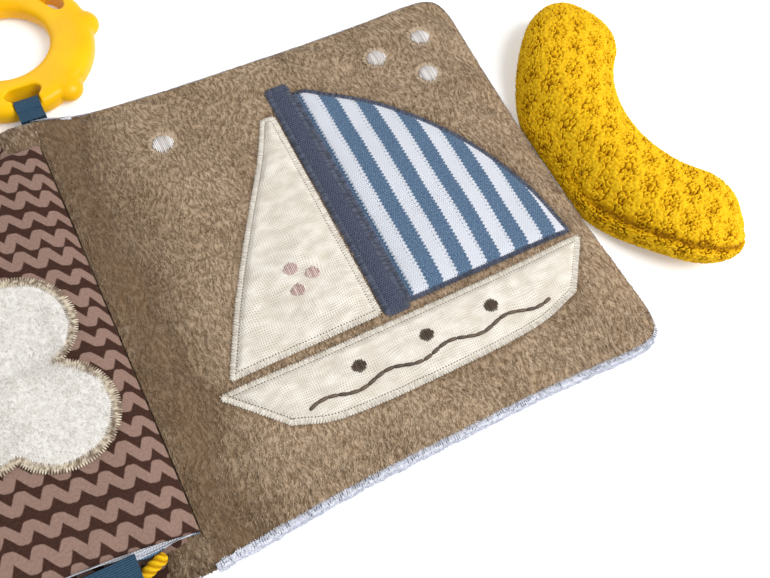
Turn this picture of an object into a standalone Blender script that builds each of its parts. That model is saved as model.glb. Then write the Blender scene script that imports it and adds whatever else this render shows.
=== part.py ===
"""A padded crinkle cloth book, lying open on a table.

X runs across the open pages, Y along the spine towards the pages' top, and Z up from the table.
The origin is on the table under the middle of the spine. Lengths are in metres.
"""

import math

import bmesh
import bpy
from mathutils import Matrix, Vector

# What touches keeps this much room.
TOUCH_GAP = 0.0003

# Leaves: two cloth faces sewn round the edge over wadding and a crinkle foil.
COVER_DRAW_IN = 0.0036  # how far a side pulls in between its corners
COVER_EAR = 0.070  # how far from a corner the side is fully drawn in
MIDDLE_WIDTH = 0.173
MIDDLE_HEIGHT = 0.158
MIDDLE_DRAW_IN = 0.0045
MIDDLE_EAR = 0.050
LEAF_HALF_THICKNESS = 0.0045
LEAF_CROWN = 0.0008
CLOTH_THICKNESS = 0.0011
FOIL_THICKNESS = 0.0004
EDGE_SWELL = 0.022  # how far from an outer edge the padding is at its full thickness
COVER_SPINE_SWELL = 0.045
MIDDLE_SPINE_SWELL = 0.030
FLAT_CUT = 0.0005  # how deep the undersides are pressed flat by the table
FACE_SHARES = (0, 0.012, 0.04, 0.09, 0.18, 0.33, 0.5, 0.67, 0.82, 0.91, 0.96, 0.988, 1)
COVER_CORNER_POWER = 24
MIDDLE_CORNER_POWER = 16

# Spine: the leaves turn about one line, where they are all sewn into a rolled seam.
SPINE_HEIGHT = 0.011
SPINE_ROLL_RADIUS = 0.0022
SPINE_ROLL_LENGTH = 0.158
SPINE_CLOTH_BACK = 0.017  # how far the spine's cloth reaches under each cover
SPINE_CLOTH_FRONT = 0.0065
SPINE_CLOTH_LENGTH = 0.166
SPINE_BEND = 0.022  # how far from the spine a cover reaches its own level
MIDDLE_TILT = math.radians(8)

# Sewn picture on the back cover's page: a sailing boat.
PATCH_THICKNESS = 0.001
BOAT_LEFT = 0.025
BOAT_WIDTH = 0.148
BOAT_HEIGHT = 0.132
BOAT_TO_EDGE = 0.0085
BOAT_TO_SIDE = 0.026
COVER_WIDTH = BOAT_LEFT + BOAT_WIDTH + BOAT_TO_EDGE
COVER_HEIGHT = BOAT_HEIGHT + 2 * BOAT_TO_SIDE
MAST_WIDTH = 0.008
DOT_RADIUS = 0.004
DOT_THICKNESS = 0.0008
MAINSAIL_LUFF_SHARES = ((0.515, 0.225), (0.515, 0.5), (0.515, 0.985))
MAINSAIL_LEECH_SHARES = ((0.985, 0.225), (0.95, 0.42), (0.86, 0.64), (0.715, 0.84), (0.54, 0.985))
JIB_LUFF_SHARES = ((0.04, 0.225), (0.13, 0.42), (0.235, 0.62), (0.335, 0.80), (0.395, 0.93))
JIB_MAST_SHARES = ((0.425, 0.225), (0.425, 0.5), (0.425, 0.93))
MAST_SHARES = ((0.47, 0.21), (0.47, 0.6), (0.47, 1.02))
HULL_KEEL_SHARES = ((0.12, 0.05), (0.24, 0.01), (0.5, 0), (0.76, 0.01), (0.9, 0.05))
HULL_RAIL_SHARES = ((0, 0.192), (0.25, 0.185), (0.5, 0.183), (0.75, 0.185), (1, 0.195))
DOT_SHARES = ((0.77, 1.00), (0.88, 0.88), (0.92, 1.02), (0.13, 0.96))

# Cloud patch on the middle leaf: lobes as (how far out from its spine side, how far up, radius).
CLOUD_SPINE_SIDE = 0.0080
CLOUD_WIDTH = 0.062
CLOUD_BOTTOM = -0.046
CLOUD_HEIGHT = 0.068
CLOUD_LOBE_SHARES = ((0.25, 0.28, 0.275), (0.29, 0.735, 0.262), (0.66, 0.38, 0.30), (0.62, 0.70, 0.27))

# Tape tab on the middle leaf's bottom edge.
TAPE_THICKNESS = 0.0007
TAB_WIDTH = 0.030
TAB_FROM_SPINE = 0.018
TAB_LENGTH = 0.028
TAB_RISE = 0.0042
TAB_PATH_SHARES = (
    (0, 0.12), (0.2, 0.42), (0.5, 0.84), (0.8, 1.0), (0.95, 0.88), (1.0, 0.62),
    (0.95, 0.38), (0.8, 0.24), (0.5, 0.16), (0.2, 0.10), (0, -0.12),
)

# Stuffed knit crescent, sewn by its back into the outer edge of the back cover.
CRESCENT_RADIUS = 0.0625
CRESCENT_CENTRE_Y = -0.0075
CRESCENT_HALF_WIDTH = 0.0200
CRESCENT_SEAM_DEPTH = 0.0025  # how much of its back the straight seam takes
CRESCENT_REACH = CRESCENT_RADIUS + CRESCENT_HALF_WIDTH - CRESCENT_SEAM_DEPTH  # from seam to arc's middle
CRESCENT_HALF_THICKNESS = 0.0122
CRESCENT_HALF_ANGLE = math.radians(64)
CRESCENT_TIP_SHARE = 0.36
CRESCENT_END_SWELL = 0.020
CRESCENT_LIFT = 0.012  # how far from the seam the crescent rises to its own level
KNIT_THICKNESS = 0.0016

# Teething ring with six knobs and three slots, held by a tape loop in the back cover's top seam.
RING_CENTRE_X = 0.0040
RING_TO_PAGE = 0.0060
RING_OUTER_RADIUS = 0.0355
RING_INNER_RADIUS = 0.018
RING_THICKNESS = 0.010
RING_KNOBS = 6
RING_SLOTS = 3
KNOB_RADIUS = 0.0062
KNOB_FROM_CENTRE = 0.0330
SLOT_FROM_CENTRE = 0.0280
SLOT_HALF_WIDTH = 0.0030
SLOT_HALF_ANGLE = math.radians(14.5)
RING_BAR_THICKNESS = 0.0048
LOOP_TAPE_WIDTH = 0.0095
LOOP_TAPE_THICKNESS = 0.0008
LOOP_SLACK = 0.0004  # between the loop and the bar that turns in it
CUT_OVERRUN = 0.002

# Knitted cord from the front cover's spine seam, with a knot on its end.
CORD_RADIUS = 0.0021
KNOT_LENGTH = 0.011
KNOT_RADIUS = 0.0043
CORD_ROUTE = (
    (-0.0095, -0.0811, 0.01180), (-0.0135, -0.0822, 0.01140), (-0.0173, -0.0836, 0.01070),
    (-0.0208, -0.0857, 0.00980), (-0.0242, -0.0885, 0.00880), (-0.0278, -0.0922, 0.00700),
    (-0.0319, -0.0962, 0.00440), (-0.0370, -0.1001, 0.00280), (-0.0440, -0.1036, 0.00225),
    (-0.0530, -0.1064, 0.00220), (-0.0620, -0.1098, 0.00220), (-0.0700, -0.1146, 0.00220),
    (-0.0770, -0.1204, 0.00220), (-0.0830, -0.1260, 0.00220),
)

BROWN_PLUSH = "977D64"
CREAM_MUSLIN = "D9D2C5"
NAVY_BAND = "525A6D"
STRIPED_JERSEY = "9DB0C4"
PRINTED_COTTON = "6E5348"
CLOUD_FLEECE = "DFDBD5"
YELLOW_KNIT = "E5B214"
YELLOW_RUBBER = "FBC605"
PETROL_TAPE = "2F4F66"
WHITE_THREAD = "EAE1DD"
WHITE_WADDING = "F2F0EC"
CLEAR_FOIL = "D8DCE0"


def linear(hex_colour):
    """Linear red, green, blue and alpha of an sRGB hex colour."""
    channels = [int(hex_colour[start : start + 2], 16) / 255 for start in (0, 2, 4)]
    return [c / 12.92 if c <= 0.04045 else ((c + 0.055) / 1.055) ** 2.4 for c in channels] + [1]


def material(name, hex_colour, roughness):
    made = bpy.data.materials.get(name)
    if made:
        return made
    made = bpy.data.materials.new(name)
    made.use_nodes = True
    shader = made.node_tree.nodes["Principled BSDF"]
    shader.inputs["Base Color"].default_value = linear(hex_colour)
    shader.inputs["Roughness"].default_value = roughness
    shader.inputs["Metallic"].default_value = 0
    return made


def hinge(name, place, parent=None):
    """An empty on a joint's axis, which the moving pieces hang from."""
    empty = bpy.data.objects.new(name, None)
    bpy.context.scene.collection.objects.link(empty)
    if parent:
        empty.parent = parent
        place = Vector(place) - parent.matrix_world.translation
    empty.location = place
    bpy.context.view_layer.update()
    return empty


def add(name, bm, finish, on):
    """Makes an object from a mesh given in world coordinates, hung from the empty on its joint's axis."""
    mesh = bpy.data.meshes.new(name)
    bmesh.ops.translate(bm, verts=bm.verts, vec=-on.matrix_world.translation)
    bm.to_mesh(mesh)
    bm.free()
    mesh.materials.append(finish)
    mesh.shade_smooth()
    mesh.set_sharp_from_angle(angle=math.radians(50))
    made = bpy.data.objects.new(name, mesh)
    made.parent = on
    bpy.context.scene.collection.objects.link(made)
    return made


def smooth_line(points, count):
    """Points read evenly from a smooth curve through the given points."""
    ends = [2 * points[0] - points[1], *points, 2 * points[-1] - points[-2]]
    line = []
    for step in range(count):
        at = step / (count - 1) * (len(points) - 1)
        span = min(int(at), len(points) - 2)
        t = at - span
        a, b, c, d = ends[span : span + 4]
        line.append(
            (2 * b + (c - a) * t + (2 * a - 5 * b + 4 * c - d) * t**2 + (3 * b - a - 3 * c + d) * t**3) / 2
        )
    return line


def solid_between(lower, upper):
    """A closed solid between two sheets of points that have the same rows and columns."""
    bm = bmesh.new()
    sheets = [[[bm.verts.new(point) for point in row] for row in sheet] for sheet in (lower, upper)]
    rows = len(lower)
    columns = len(lower[0])
    for sheet in sheets:
        for i in range(rows - 1):
            for j in range(columns - 1):
                bm.faces.new((sheet[i][j], sheet[i + 1][j], sheet[i + 1][j + 1], sheet[i][j + 1]))
    rim = [(i, 0) for i in range(rows - 1)] + [(rows - 1, j) for j in range(columns - 1)]
    rim += [(i, columns - 1) for i in range(rows - 1, 0, -1)] + [(0, j) for j in range(columns - 1, 0, -1)]
    for (i, j), (k, m) in zip(rim, rim[1:] + rim[:1]):
        bm.faces.new((sheets[0][i][j], sheets[0][k][m], sheets[1][k][m], sheets[1][i][j]))
    bmesh.ops.recalc_face_normals(bm, faces=bm.faces)
    return bm


def closed_band(path, thickness, edges):
    """A flat tape bent along a closed path of points in a plane; edges gives its two long edges there."""
    inner = []
    outer = []
    for before, here, after in zip(path[-1:] + path[:-1], path, path[1:] + path[:1]):
        along = (after - before).normalized()
        out = Vector((along[1], -along[0])) * thickness / 2
        inner.append(here - out)
        outer.append(here + out)
    bm = bmesh.new()
    rings = []
    for loop in (inner, outer):
        for edge in edges:
            rings.append([bm.verts.new(edge(point)) for point in loop])
    near_in, far_in, near_out, far_out = rings
    for first, second in ((near_in, near_out), (near_out, far_out), (far_out, far_in), (far_in, near_in)):
        for k in range(len(path)):
            bm.faces.new((first[k - 1], first[k], second[k], second[k - 1]))
    bmesh.ops.recalc_face_normals(bm, faces=bm.faces)
    return bm


def swell(distance, reach):
    """How full padding is at a distance from its seam: round like a pillow's edge, and 1 past the reach."""
    return math.sqrt(1 - (1 - min(distance / reach, 1)) ** 2)


def soft_swell(distance, reach):
    return math.sin(math.pi / 2 * min(distance / reach, 1))


def seam_half(skin):
    return TOUCH_GAP / 2 + skin


class Leaf:
    """A padded leaf, in places of its own: out from the spine, up the page, and above the spine's line."""

    def __init__(self, side, width, height, draw_in, ear, corner_power, spine_swell, lies_flat):
        self.side = side
        self.width = width
        self.half_height = height / 2
        self.draw_in = draw_in
        self.ear = ear
        self.corner_power = corner_power
        self.spine_swell = spine_swell
        self.lies_flat = lies_flat
        self.start = SPINE_ROLL_RADIUS + TOUCH_GAP

    def side_at(self, out):
        """Half the page's height at a distance out from the spine side."""
        nearest = min(out, self.width - out, self.ear)
        return self.half_height - self.draw_in * (1 - (1 - nearest / self.ear) ** 2)

    def width_at(self, share_up):
        return self.width - self.draw_in * (1 - share_up**2)

    def plan(self, across, along):
        """Where a share across and a share up the page lie, with the two outer corners rounded."""
        s = 2 * across - 1
        t = 2 * along - 1
        if s > 0:
            most = max(s, abs(t))
            power = self.corner_power
            corner = ((s / most) ** power + abs(t / most) ** power) ** (1 / power)
            pull = corner ** -(most**8)
            s *= pull
            t *= pull
        out = (1 + s) / 2 * self.width_at(t)
        return self.start + out, t * self.side_at(out)

    def shares(self, out, up):
        """The shares across and up the page of a place well inside its edges."""
        share_up = up / self.side_at(out - self.start)
        return (out - self.start) / self.width_at(share_up), (1 + share_up) / 2

    def padding(self, across, along):
        """Half the leaf's thickness."""
        outer = (1 - across) * self.width
        side = 2 * min(along, 1 - along) * self.half_height
        full = soft_swell(across * self.width, self.spine_swell)
        full *= swell(outer, EDGE_SWELL) * swell(side, EDGE_SWELL)
        seam = seam_half(CLOTH_THICKNESS)
        crown = LEAF_CROWN * math.sin(math.pi * across) * math.sin(math.pi * along)
        return seam + (LEAF_HALF_THICKNESS - seam) * full + crown

    def middle(self, across):
        """Height of the middle surface: a cover comes down from the spine to lie on the table."""
        if not self.lies_flat:
            return 0
        low = LEAF_HALF_THICKNESS - FLAT_CUT - SPINE_HEIGHT
        drop = -2 * seam_half(CLOTH_THICKNESS) - 2 * TOUCH_GAP
        left = 1 - min(across * self.width / SPINE_BEND, 1)
        return low + (drop - low) * left**2 * (3 - 2 * left)

    def levels(self, across, along):
        half = self.padding(across, along)
        middle = self.middle(across)
        low = max(middle - half, -SPINE_HEIGHT) if self.lies_flat else middle - half
        return (*self.plan(across, along), low, middle, middle + half)

    def place(self, out, up, level):
        tilt = 0 if self.lies_flat else MIDDLE_TILT
        x = out * math.cos(tilt) - level * math.sin(tilt)
        z = out * math.sin(tilt) + level * math.cos(tilt)
        return Vector((self.side * x, up, SPINE_HEIGHT + z))


class Crescent:
    """The stuffed crescent: shares run along its arc and across its width, levels up from the table."""

    def __init__(self, seam_x, seam_height):
        self.seam_x = seam_x
        self.seam_height = seam_height

    def plan(self, along, across):
        turn = (2 * along - 1) * CRESCENT_HALF_ANGLE
        s = abs(2 * along - 1)
        w = 2 * across - 1
        left = (1 - s) * CRESCENT_HALF_ANGLE * CRESCENT_RADIUS
        narrow = CRESCENT_TIP_SHARE + (1 - CRESCENT_TIP_SHARE) * swell(left, CRESCENT_HALF_WIDTH)
        half = CRESCENT_HALF_WIDTH * narrow
        if w > 0:
            half = min(half, CRESCENT_REACH / math.cos(turn) - CRESCENT_RADIUS)
        radius = CRESCENT_RADIUS + w * half
        x = self.seam_x + CRESCENT_REACH - radius * math.cos(turn)
        return x, CRESCENT_CENTRE_Y + radius * math.sin(turn)

    def levels(self, along, across):
        x, y = self.plan(along, across)
        s = abs(2 * along - 1)
        w = 2 * across - 1
        seam = seam_half(KNIT_THICKNESS)
        end = swell((1 - s) * CRESCENT_HALF_ANGLE * CRESCENT_RADIUS, CRESCENT_END_SWELL)
        half = seam + (CRESCENT_HALF_THICKNESS - seam) * math.sqrt(1 - w * w) * end
        free = CRESCENT_HALF_THICKNESS - FLAT_CUT
        lift = 1 - math.exp(-(((x - self.seam_x) / CRESCENT_LIFT) ** 2))
        middle = self.seam_height + (free - self.seam_height) * lift
        return x, y, max(middle - half, 0), middle, middle + half

    def place(self, x, y, level):
        return Vector((x, y, level))


def sheet(form, first_shares, second_shares, pick):
    """Rows of points over a padded form, at the level that pick chooses from its low, middle and high."""
    rows = []
    for first in first_shares:
        row = []
        for second in second_shares:
            u, v, low, middle, high = form.levels(first, second)
            row.append(form.place(u, v, pick(low, middle, high)))
        rows.append(row)
    return rows


def upper_cloth(form, shares, skin):
    under = sheet(form, *shares, lambda low, middle, high: high - skin)
    return solid_between(under, sheet(form, *shares, lambda low, middle, high: high))


def lower_cloth(form, shares, skin):
    inside = sheet(form, *shares, lambda low, middle, high: min(low + skin, middle - TOUCH_GAP / 2))
    return solid_between(sheet(form, *shares, lambda low, middle, high: low), inside)


def filling(form, shares, skin, top_layer):
    """What fills a form between its cloths, below a layer of the given thickness under the upper cloth."""
    bottom = sheet(form, *shares, lambda low, middle, high: low + skin + TOUCH_GAP)
    return solid_between(
        bottom, sheet(form, *shares, lambda low, middle, high: high - skin - TOUCH_GAP - top_layer)
    )


def foil(form, shares, skin):
    return solid_between(
        sheet(form, *shares, lambda low, middle, high: high - skin - TOUCH_GAP - FOIL_THICKNESS),
        sheet(form, *shares, lambda low, middle, high: high - skin - TOUCH_GAP),
    )


def patch_between(leaf, first_edge, second_edge, columns):
    """A cloth patch that lies on a leaf's upper face, between two lines of places on the page."""
    rows = []
    for start, end in zip(first_edge, second_edge):
        rows.append([start.lerp(end, k / (columns - 1)) for k in range(columns)])
    sheets = []
    for above in (TOUCH_GAP, TOUCH_GAP + PATCH_THICKNESS):
        sheets.append([])
        for row in rows:
            points = []
            for out, up in row:
                high = leaf.levels(*leaf.shares(out, up))[4]
                points.append(leaf.place(out, up, high + above))
            sheets[-1].append(points)
    return solid_between(*sheets)


def boat_line(shares, count):
    points = [
        Vector((BOAT_LEFT + across * BOAT_WIDTH, (up - 0.5) * BOAT_HEIGHT)) for across, up in shares
    ]
    return smooth_line(points, count)


def make_leaf(prefix, leaf, upper_name, upper_finish, on):
    face = (FACE_SHARES, FACE_SHARES)
    pad = (FACE_SHARES[3:-2], FACE_SHARES[2:-2])
    jersey = material("striped_jersey", STRIPED_JERSEY, 0.95)
    wadding = material("white_wadding", WHITE_WADDING, 1.0)
    film = material("clear_foil", CLEAR_FOIL, 0.2)
    under_foil = FOIL_THICKNESS + TOUCH_GAP
    add(prefix + upper_name, upper_cloth(leaf, face, CLOTH_THICKNESS), upper_finish, on)
    add(prefix + "_jersey", lower_cloth(leaf, face, CLOTH_THICKNESS), jersey, on)
    add(prefix + "_wadding", filling(leaf, pad, CLOTH_THICKNESS, under_foil), wadding, on)
    add(prefix + "_crinkle_foil", foil(leaf, pad, CLOTH_THICKNESS), film, on)


def make_spine(on):
    roll = bmesh.new()
    bmesh.ops.create_cone(
        roll,
        cap_ends=True,
        segments=16,
        radius1=SPINE_ROLL_RADIUS,
        radius2=SPINE_ROLL_RADIUS,
        depth=SPINE_ROLL_LENGTH,
        matrix=Matrix.Translation((0, 0, SPINE_HEIGHT)) @ Matrix.Rotation(math.pi / 2, 4, "X"),
    )
    add("spine_roll", roll, material("brown_plush", BROWN_PLUSH, 0.95), on)
    cloth = bmesh.new()
    bmesh.ops.create_cube(
        cloth,
        size=1,
        matrix=Matrix.Translation(((SPINE_CLOTH_BACK - SPINE_CLOTH_FRONT) / 2, 0, CLOTH_THICKNESS / 2))
        @ Matrix.Diagonal((SPINE_CLOTH_BACK + SPINE_CLOTH_FRONT, SPINE_CLOTH_LENGTH, CLOTH_THICKNESS, 1)),
    )
    add("spine_jersey", cloth, material("striped_jersey", STRIPED_JERSEY, 0.95), on)


def make_boat(leaf, on):
    jersey = material("striped_jersey", STRIPED_JERSEY, 0.95)
    muslin = material("cream_muslin", CREAM_MUSLIN, 0.95)
    band = material("navy_band", NAVY_BAND, 0.9)
    luff = boat_line(MAINSAIL_LUFF_SHARES, 11)
    add("boat_mainsail", patch_between(leaf, luff, boat_line(MAINSAIL_LEECH_SHARES, 11), 7), jersey, on)
    luff = boat_line(JIB_LUFF_SHARES, 10)
    add("boat_jib", patch_between(leaf, luff, boat_line(JIB_MAST_SHARES, 10), 6), muslin, on)
    middle = boat_line(MAST_SHARES, 11)
    half = Vector((MAST_WIDTH / 2, 0))
    port = [point - half for point in middle]
    starboard = [point + half for point in middle]
    add("boat_mast", patch_between(leaf, port, starboard, 2), band, on)
    keel = boat_line(HULL_KEEL_SHARES, 13)
    add("boat_hull", patch_between(leaf, keel, boat_line(HULL_RAIL_SHARES, 13), 4), muslin, on)


def make_dots(leaf, on):
    thread = material("white_thread", WHITE_THREAD, 0.6)
    for number, (across, up) in enumerate(DOT_SHARES, 1):
        out = BOAT_LEFT + across * BOAT_WIDTH
        height = (up - 0.5) * BOAT_HEIGHT
        high = leaf.levels(*leaf.shares(out, height))[4]
        centre = leaf.place(out, height, high + TOUCH_GAP + DOT_THICKNESS / 2)
        dot = bmesh.new()
        bmesh.ops.create_cone(
            dot,
            cap_ends=True,
            segments=16,
            radius1=DOT_RADIUS,
            radius2=DOT_RADIUS - DOT_THICKNESS,
            depth=DOT_THICKNESS,
            matrix=Matrix.Translation(centre),
        )
        add(f"embroidered_dot_{number}", dot, thread, on)


def make_cloud(leaf, on):
    """Its outline is that of a few round lobes, read from bottom to top on both sides."""
    spine_side = []
    outer_side = []
    rows = 15
    for row in range(rows):
        share_up = 0.03 + 0.94 * row / (rows - 1)
        reaches = []
        for across, up, radius in CLOUD_LOBE_SHARES:
            inside = radius**2 - (share_up - up) ** 2
            if inside > 0:
                reaches.append((across - math.sqrt(inside), across + math.sqrt(inside)))
        up = CLOUD_BOTTOM + share_up * CLOUD_HEIGHT
        nearest = max(min(near for near, far in reaches), 0)
        farthest = max(far for near, far in reaches)
        spine_side.append(Vector((CLOUD_SPINE_SIDE + nearest * CLOUD_WIDTH, up)))
        outer_side.append(Vector((CLOUD_SPINE_SIDE + farthest * CLOUD_WIDTH, up)))
    cloud = patch_between(leaf, spine_side, outer_side, 6)
    add("cloud_patch", cloud, material("cloud_fleece", CLOUD_FLEECE, 1.0), on)


def make_tab(leaf, on):
    """A folded tape whose two ends are sewn into the leaf's bottom seam."""
    edge = leaf.side_at(TAB_FROM_SPINE - leaf.start) + TOUCH_GAP
    path = [
        Vector((-edge - along * TAB_LENGTH, rise * TAB_RISE)) for along, rise in TAB_PATH_SHARES
    ]
    edges = [
        lambda point, out=out: leaf.place(out, point[0], point[1])
        for out in (TAB_FROM_SPINE, TAB_FROM_SPINE + TAB_WIDTH)
    ]
    add("tape_tab", closed_band(path, TAPE_THICKNESS, edges), material("petrol_tape", PETROL_TAPE, 0.6), on)


def make_crescent(form, on):
    knit = material("yellow_knit", YELLOW_KNIT, 0.95)
    arc = [step / 18 for step in range(19)]
    across = [(1 - math.cos(math.pi * step / 8)) / 2 for step in range(9)]
    add("crescent_upper_knit", upper_cloth(form, (arc, across), KNIT_THICKNESS), knit, on)
    add("crescent_lower_knit", lower_cloth(form, (arc, across), KNIT_THICKNESS), knit, on)
    stuffing = filling(form, (arc[2:-2], across[2:-2]), KNIT_THICKNESS, 0)
    add("crescent_filling", stuffing, material("white_wadding", WHITE_WADDING, 1.0), on)


def hidden(name, bm):
    """A helper that cuts or joins and isn't part of the model."""
    mesh = bpy.data.meshes.new(name)
    bm.to_mesh(mesh)
    bm.free()
    made = bpy.data.objects.new(name, mesh)
    bpy.context.scene.collection.objects.link(made)
    made.hide_render = True
    made.display_type = "WIRE"
    return made


def turned(profile, steps, centre):
    """A ring turned from a closed profile of (radius, height) points."""
    bm = bmesh.new()
    loops = []
    for step in range(steps):
        turn = 2 * math.pi * step / steps
        loops.append(
            [bm.verts.new(centre + Vector((r * math.cos(turn), r * math.sin(turn), z))) for r, z in profile]
        )
    for step in range(steps):
        for k in range(len(profile)):
            bm.faces.new((loops[step - 1][k - 1], loops[step][k - 1], loops[step][k], loops[step - 1][k]))
    bmesh.ops.recalc_face_normals(bm, faces=bm.faces)
    return bm


def make_ring(page_top, on):
    """The ring lies on the table; its slots face the book, and the loop goes round the bar outside one."""
    centre_y = page_top + RING_TO_PAGE + RING_OUTER_RADIUS
    half = RING_THICKNESS / 2
    centre = Vector((RING_CENTRE_X, centre_y, half))
    mean_radius = (RING_OUTER_RADIUS + RING_INNER_RADIUS) / 2
    half_width = (RING_OUTER_RADIUS - RING_INNER_RADIUS) / 2
    profile = []
    corners = 20
    for k in range(corners):
        turn = 2 * math.pi * (k + 0.5) / corners
        c = math.cos(turn)
        s = math.sin(turn)
        profile.append((
            mean_radius + half_width * math.copysign(abs(c) ** 0.6, c),
            half * math.copysign(abs(s) ** 0.6, s),
        ))
    ring = add("teether_ring", turned(profile, 48, centre), material("yellow_rubber", YELLOW_RUBBER, 0.35), on)

    knobs = bmesh.new()
    for k in range(RING_KNOBS):
        turn = 2 * math.pi * k / RING_KNOBS
        at = centre + KNOB_FROM_CENTRE * Vector((math.cos(turn), math.sin(turn), 0))
        flat = (half - TOUCH_GAP) / KNOB_RADIUS
        scale = Matrix.Translation(at) @ Matrix.Diagonal((1, 1, flat, 1))
        bmesh.ops.create_uvsphere(knobs, u_segments=16, v_segments=8, radius=KNOB_RADIUS, matrix=scale)

    slots = bmesh.new()
    steps = 10
    for k in range(RING_SLOTS):
        middle = 2 * math.pi * k / RING_SLOTS - math.pi / 2
        outline = []
        for turn_share, side in [(s / steps, 1) for s in range(steps + 1)] + [
            (s / steps, -1) for s in range(steps, -1, -1)
        ]:
            turn = middle + (2 * turn_share - 1) * SLOT_HALF_ANGLE
            wide = SLOT_HALF_WIDTH * (0.25 + 0.75 * math.sqrt(1 - abs(2 * turn_share - 1) ** 3))
            radius = SLOT_FROM_CENTRE + side * wide
            outline.append(centre + Vector((radius * math.cos(turn), radius * math.sin(turn), 0)))
        down = Vector((0, 0, -half - CUT_OVERRUN))
        bottom = slots.faces.new([slots.verts.new(point + down) for point in outline])
        grown = bmesh.ops.extrude_face_region(slots, geom=[bottom])
        risen = [v for v in grown["geom"] if isinstance(v, bmesh.types.BMVert)]
        bmesh.ops.translate(slots, verts=risen, vec=-2 * down)
    bmesh.ops.recalc_face_normals(slots, faces=slots.faces)

    grooves = bmesh.new()
    length = RING_OUTER_RADIUS - SLOT_FROM_CENTRE + CUT_OVERRUN
    middle_y = -SLOT_FROM_CENTRE - length / 2
    depth = half - RING_BAR_THICKNESS / 2 + CUT_OVERRUN
    size = (LOOP_TAPE_WIDTH + 2 * LOOP_SLACK, length, depth, 1)
    for side in (-1, 1):
        at = centre + Vector((0, middle_y, side * (RING_BAR_THICKNESS + depth) / 2))
        bmesh.ops.create_cube(grooves, size=1, matrix=Matrix.Translation(at) @ Matrix.Diagonal(size))

    tools = (("knobs", knobs, "UNION"), ("slots", slots, "DIFFERENCE"), ("grooves", grooves, "DIFFERENCE"))
    for name, bm, operation in tools:
        modifier = ring.modifiers.new(name, "BOOLEAN")
        modifier.operation = operation
        modifier.solver = "EXACT"
        modifier.object = hidden("ring_" + name, bm)


def make_loop(page_top, seam_height, bar_y, on):
    """The tape goes from the page's seam round the ring's bar and back."""
    bar_half = max(RING_OUTER_RADIUS - SLOT_FROM_CENTRE - SLOT_HALF_WIDTH, RING_BAR_THICKNESS) / 2
    inside = math.hypot(bar_half, RING_BAR_THICKNESS / 2) + LOOP_SLACK
    radius = inside + LOOP_TAPE_THICKNESS / 2
    bar = Vector((bar_y, RING_THICKNESS / 2))
    start = page_top + TOUCH_GAP
    half_start = (LOOP_TAPE_THICKNESS + TOUCH_GAP) / 2
    path = [Vector((start, seam_height - half_start))]
    for step in range(13):
        turn = math.radians(-130 + 260 * step / 12)
        path.append(bar + radius * Vector((math.cos(turn), math.sin(turn))))
    path.append(Vector((start, seam_height + half_start)))
    edges = [
        lambda point, x=RING_CENTRE_X + side * LOOP_TAPE_WIDTH / 2: Vector((x, point[0], point[1]))
        for side in (-1, 1)
    ]
    tape = material("petrol_tape", PETROL_TAPE, 0.6)
    add("ring_tape_loop", closed_band(path, LOOP_TAPE_THICKNESS, edges), tape, on)


def make_cord(on):
    """The cord is sewn in beside the spine, runs over the front cover's edge and lies on the table."""
    route = [Vector(point) for point in CORD_ROUTE]
    points = smooth_line(route, 14)
    origin = on.matrix_world.translation
    curve = bpy.data.curves.new("yellow_cord", "CURVE")
    curve.dimensions = "3D"
    curve.bevel_depth = CORD_RADIUS
    curve.bevel_resolution = 2
    curve.use_fill_caps = True
    spline = curve.splines.new("POLY")
    spline.points.add(len(points) - 1)
    for target, point in zip(spline.points, points):
        target.co = (*(point - origin), 1)
    curve.materials.append(material("yellow_knit", YELLOW_KNIT, 0.95))
    cord = bpy.data.objects.new("yellow_cord", curve)
    cord.parent = on
    bpy.context.scene.collection.objects.link(cord)

    end = points[-1]
    along = (end - points[-2]).normalized()
    middle = end + along * (KNOT_LENGTH / 2 + TOUCH_GAP)
    middle.z = KNOT_RADIUS + TOUCH_GAP
    knot = bmesh.new()
    turn = Vector((1, 0, 0)).rotation_difference(Vector((along.x, along.y, 0))).to_matrix().to_4x4()
    stretch = Matrix.Diagonal((KNOT_LENGTH / 2, KNOT_RADIUS, KNOT_RADIUS, 1))
    bmesh.ops.create_uvsphere(
        knot, u_segments=14, v_segments=9, radius=1, matrix=Matrix.Translation(middle) @ turn @ stretch
    )
    add("cord_knot", knot, material("yellow_knit", YELLOW_KNIT, 0.95), on)
    length = sum((b - a).length for a, b in zip(points, points[1:]))
    print(f"cord length {length:.4f} m")


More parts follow.
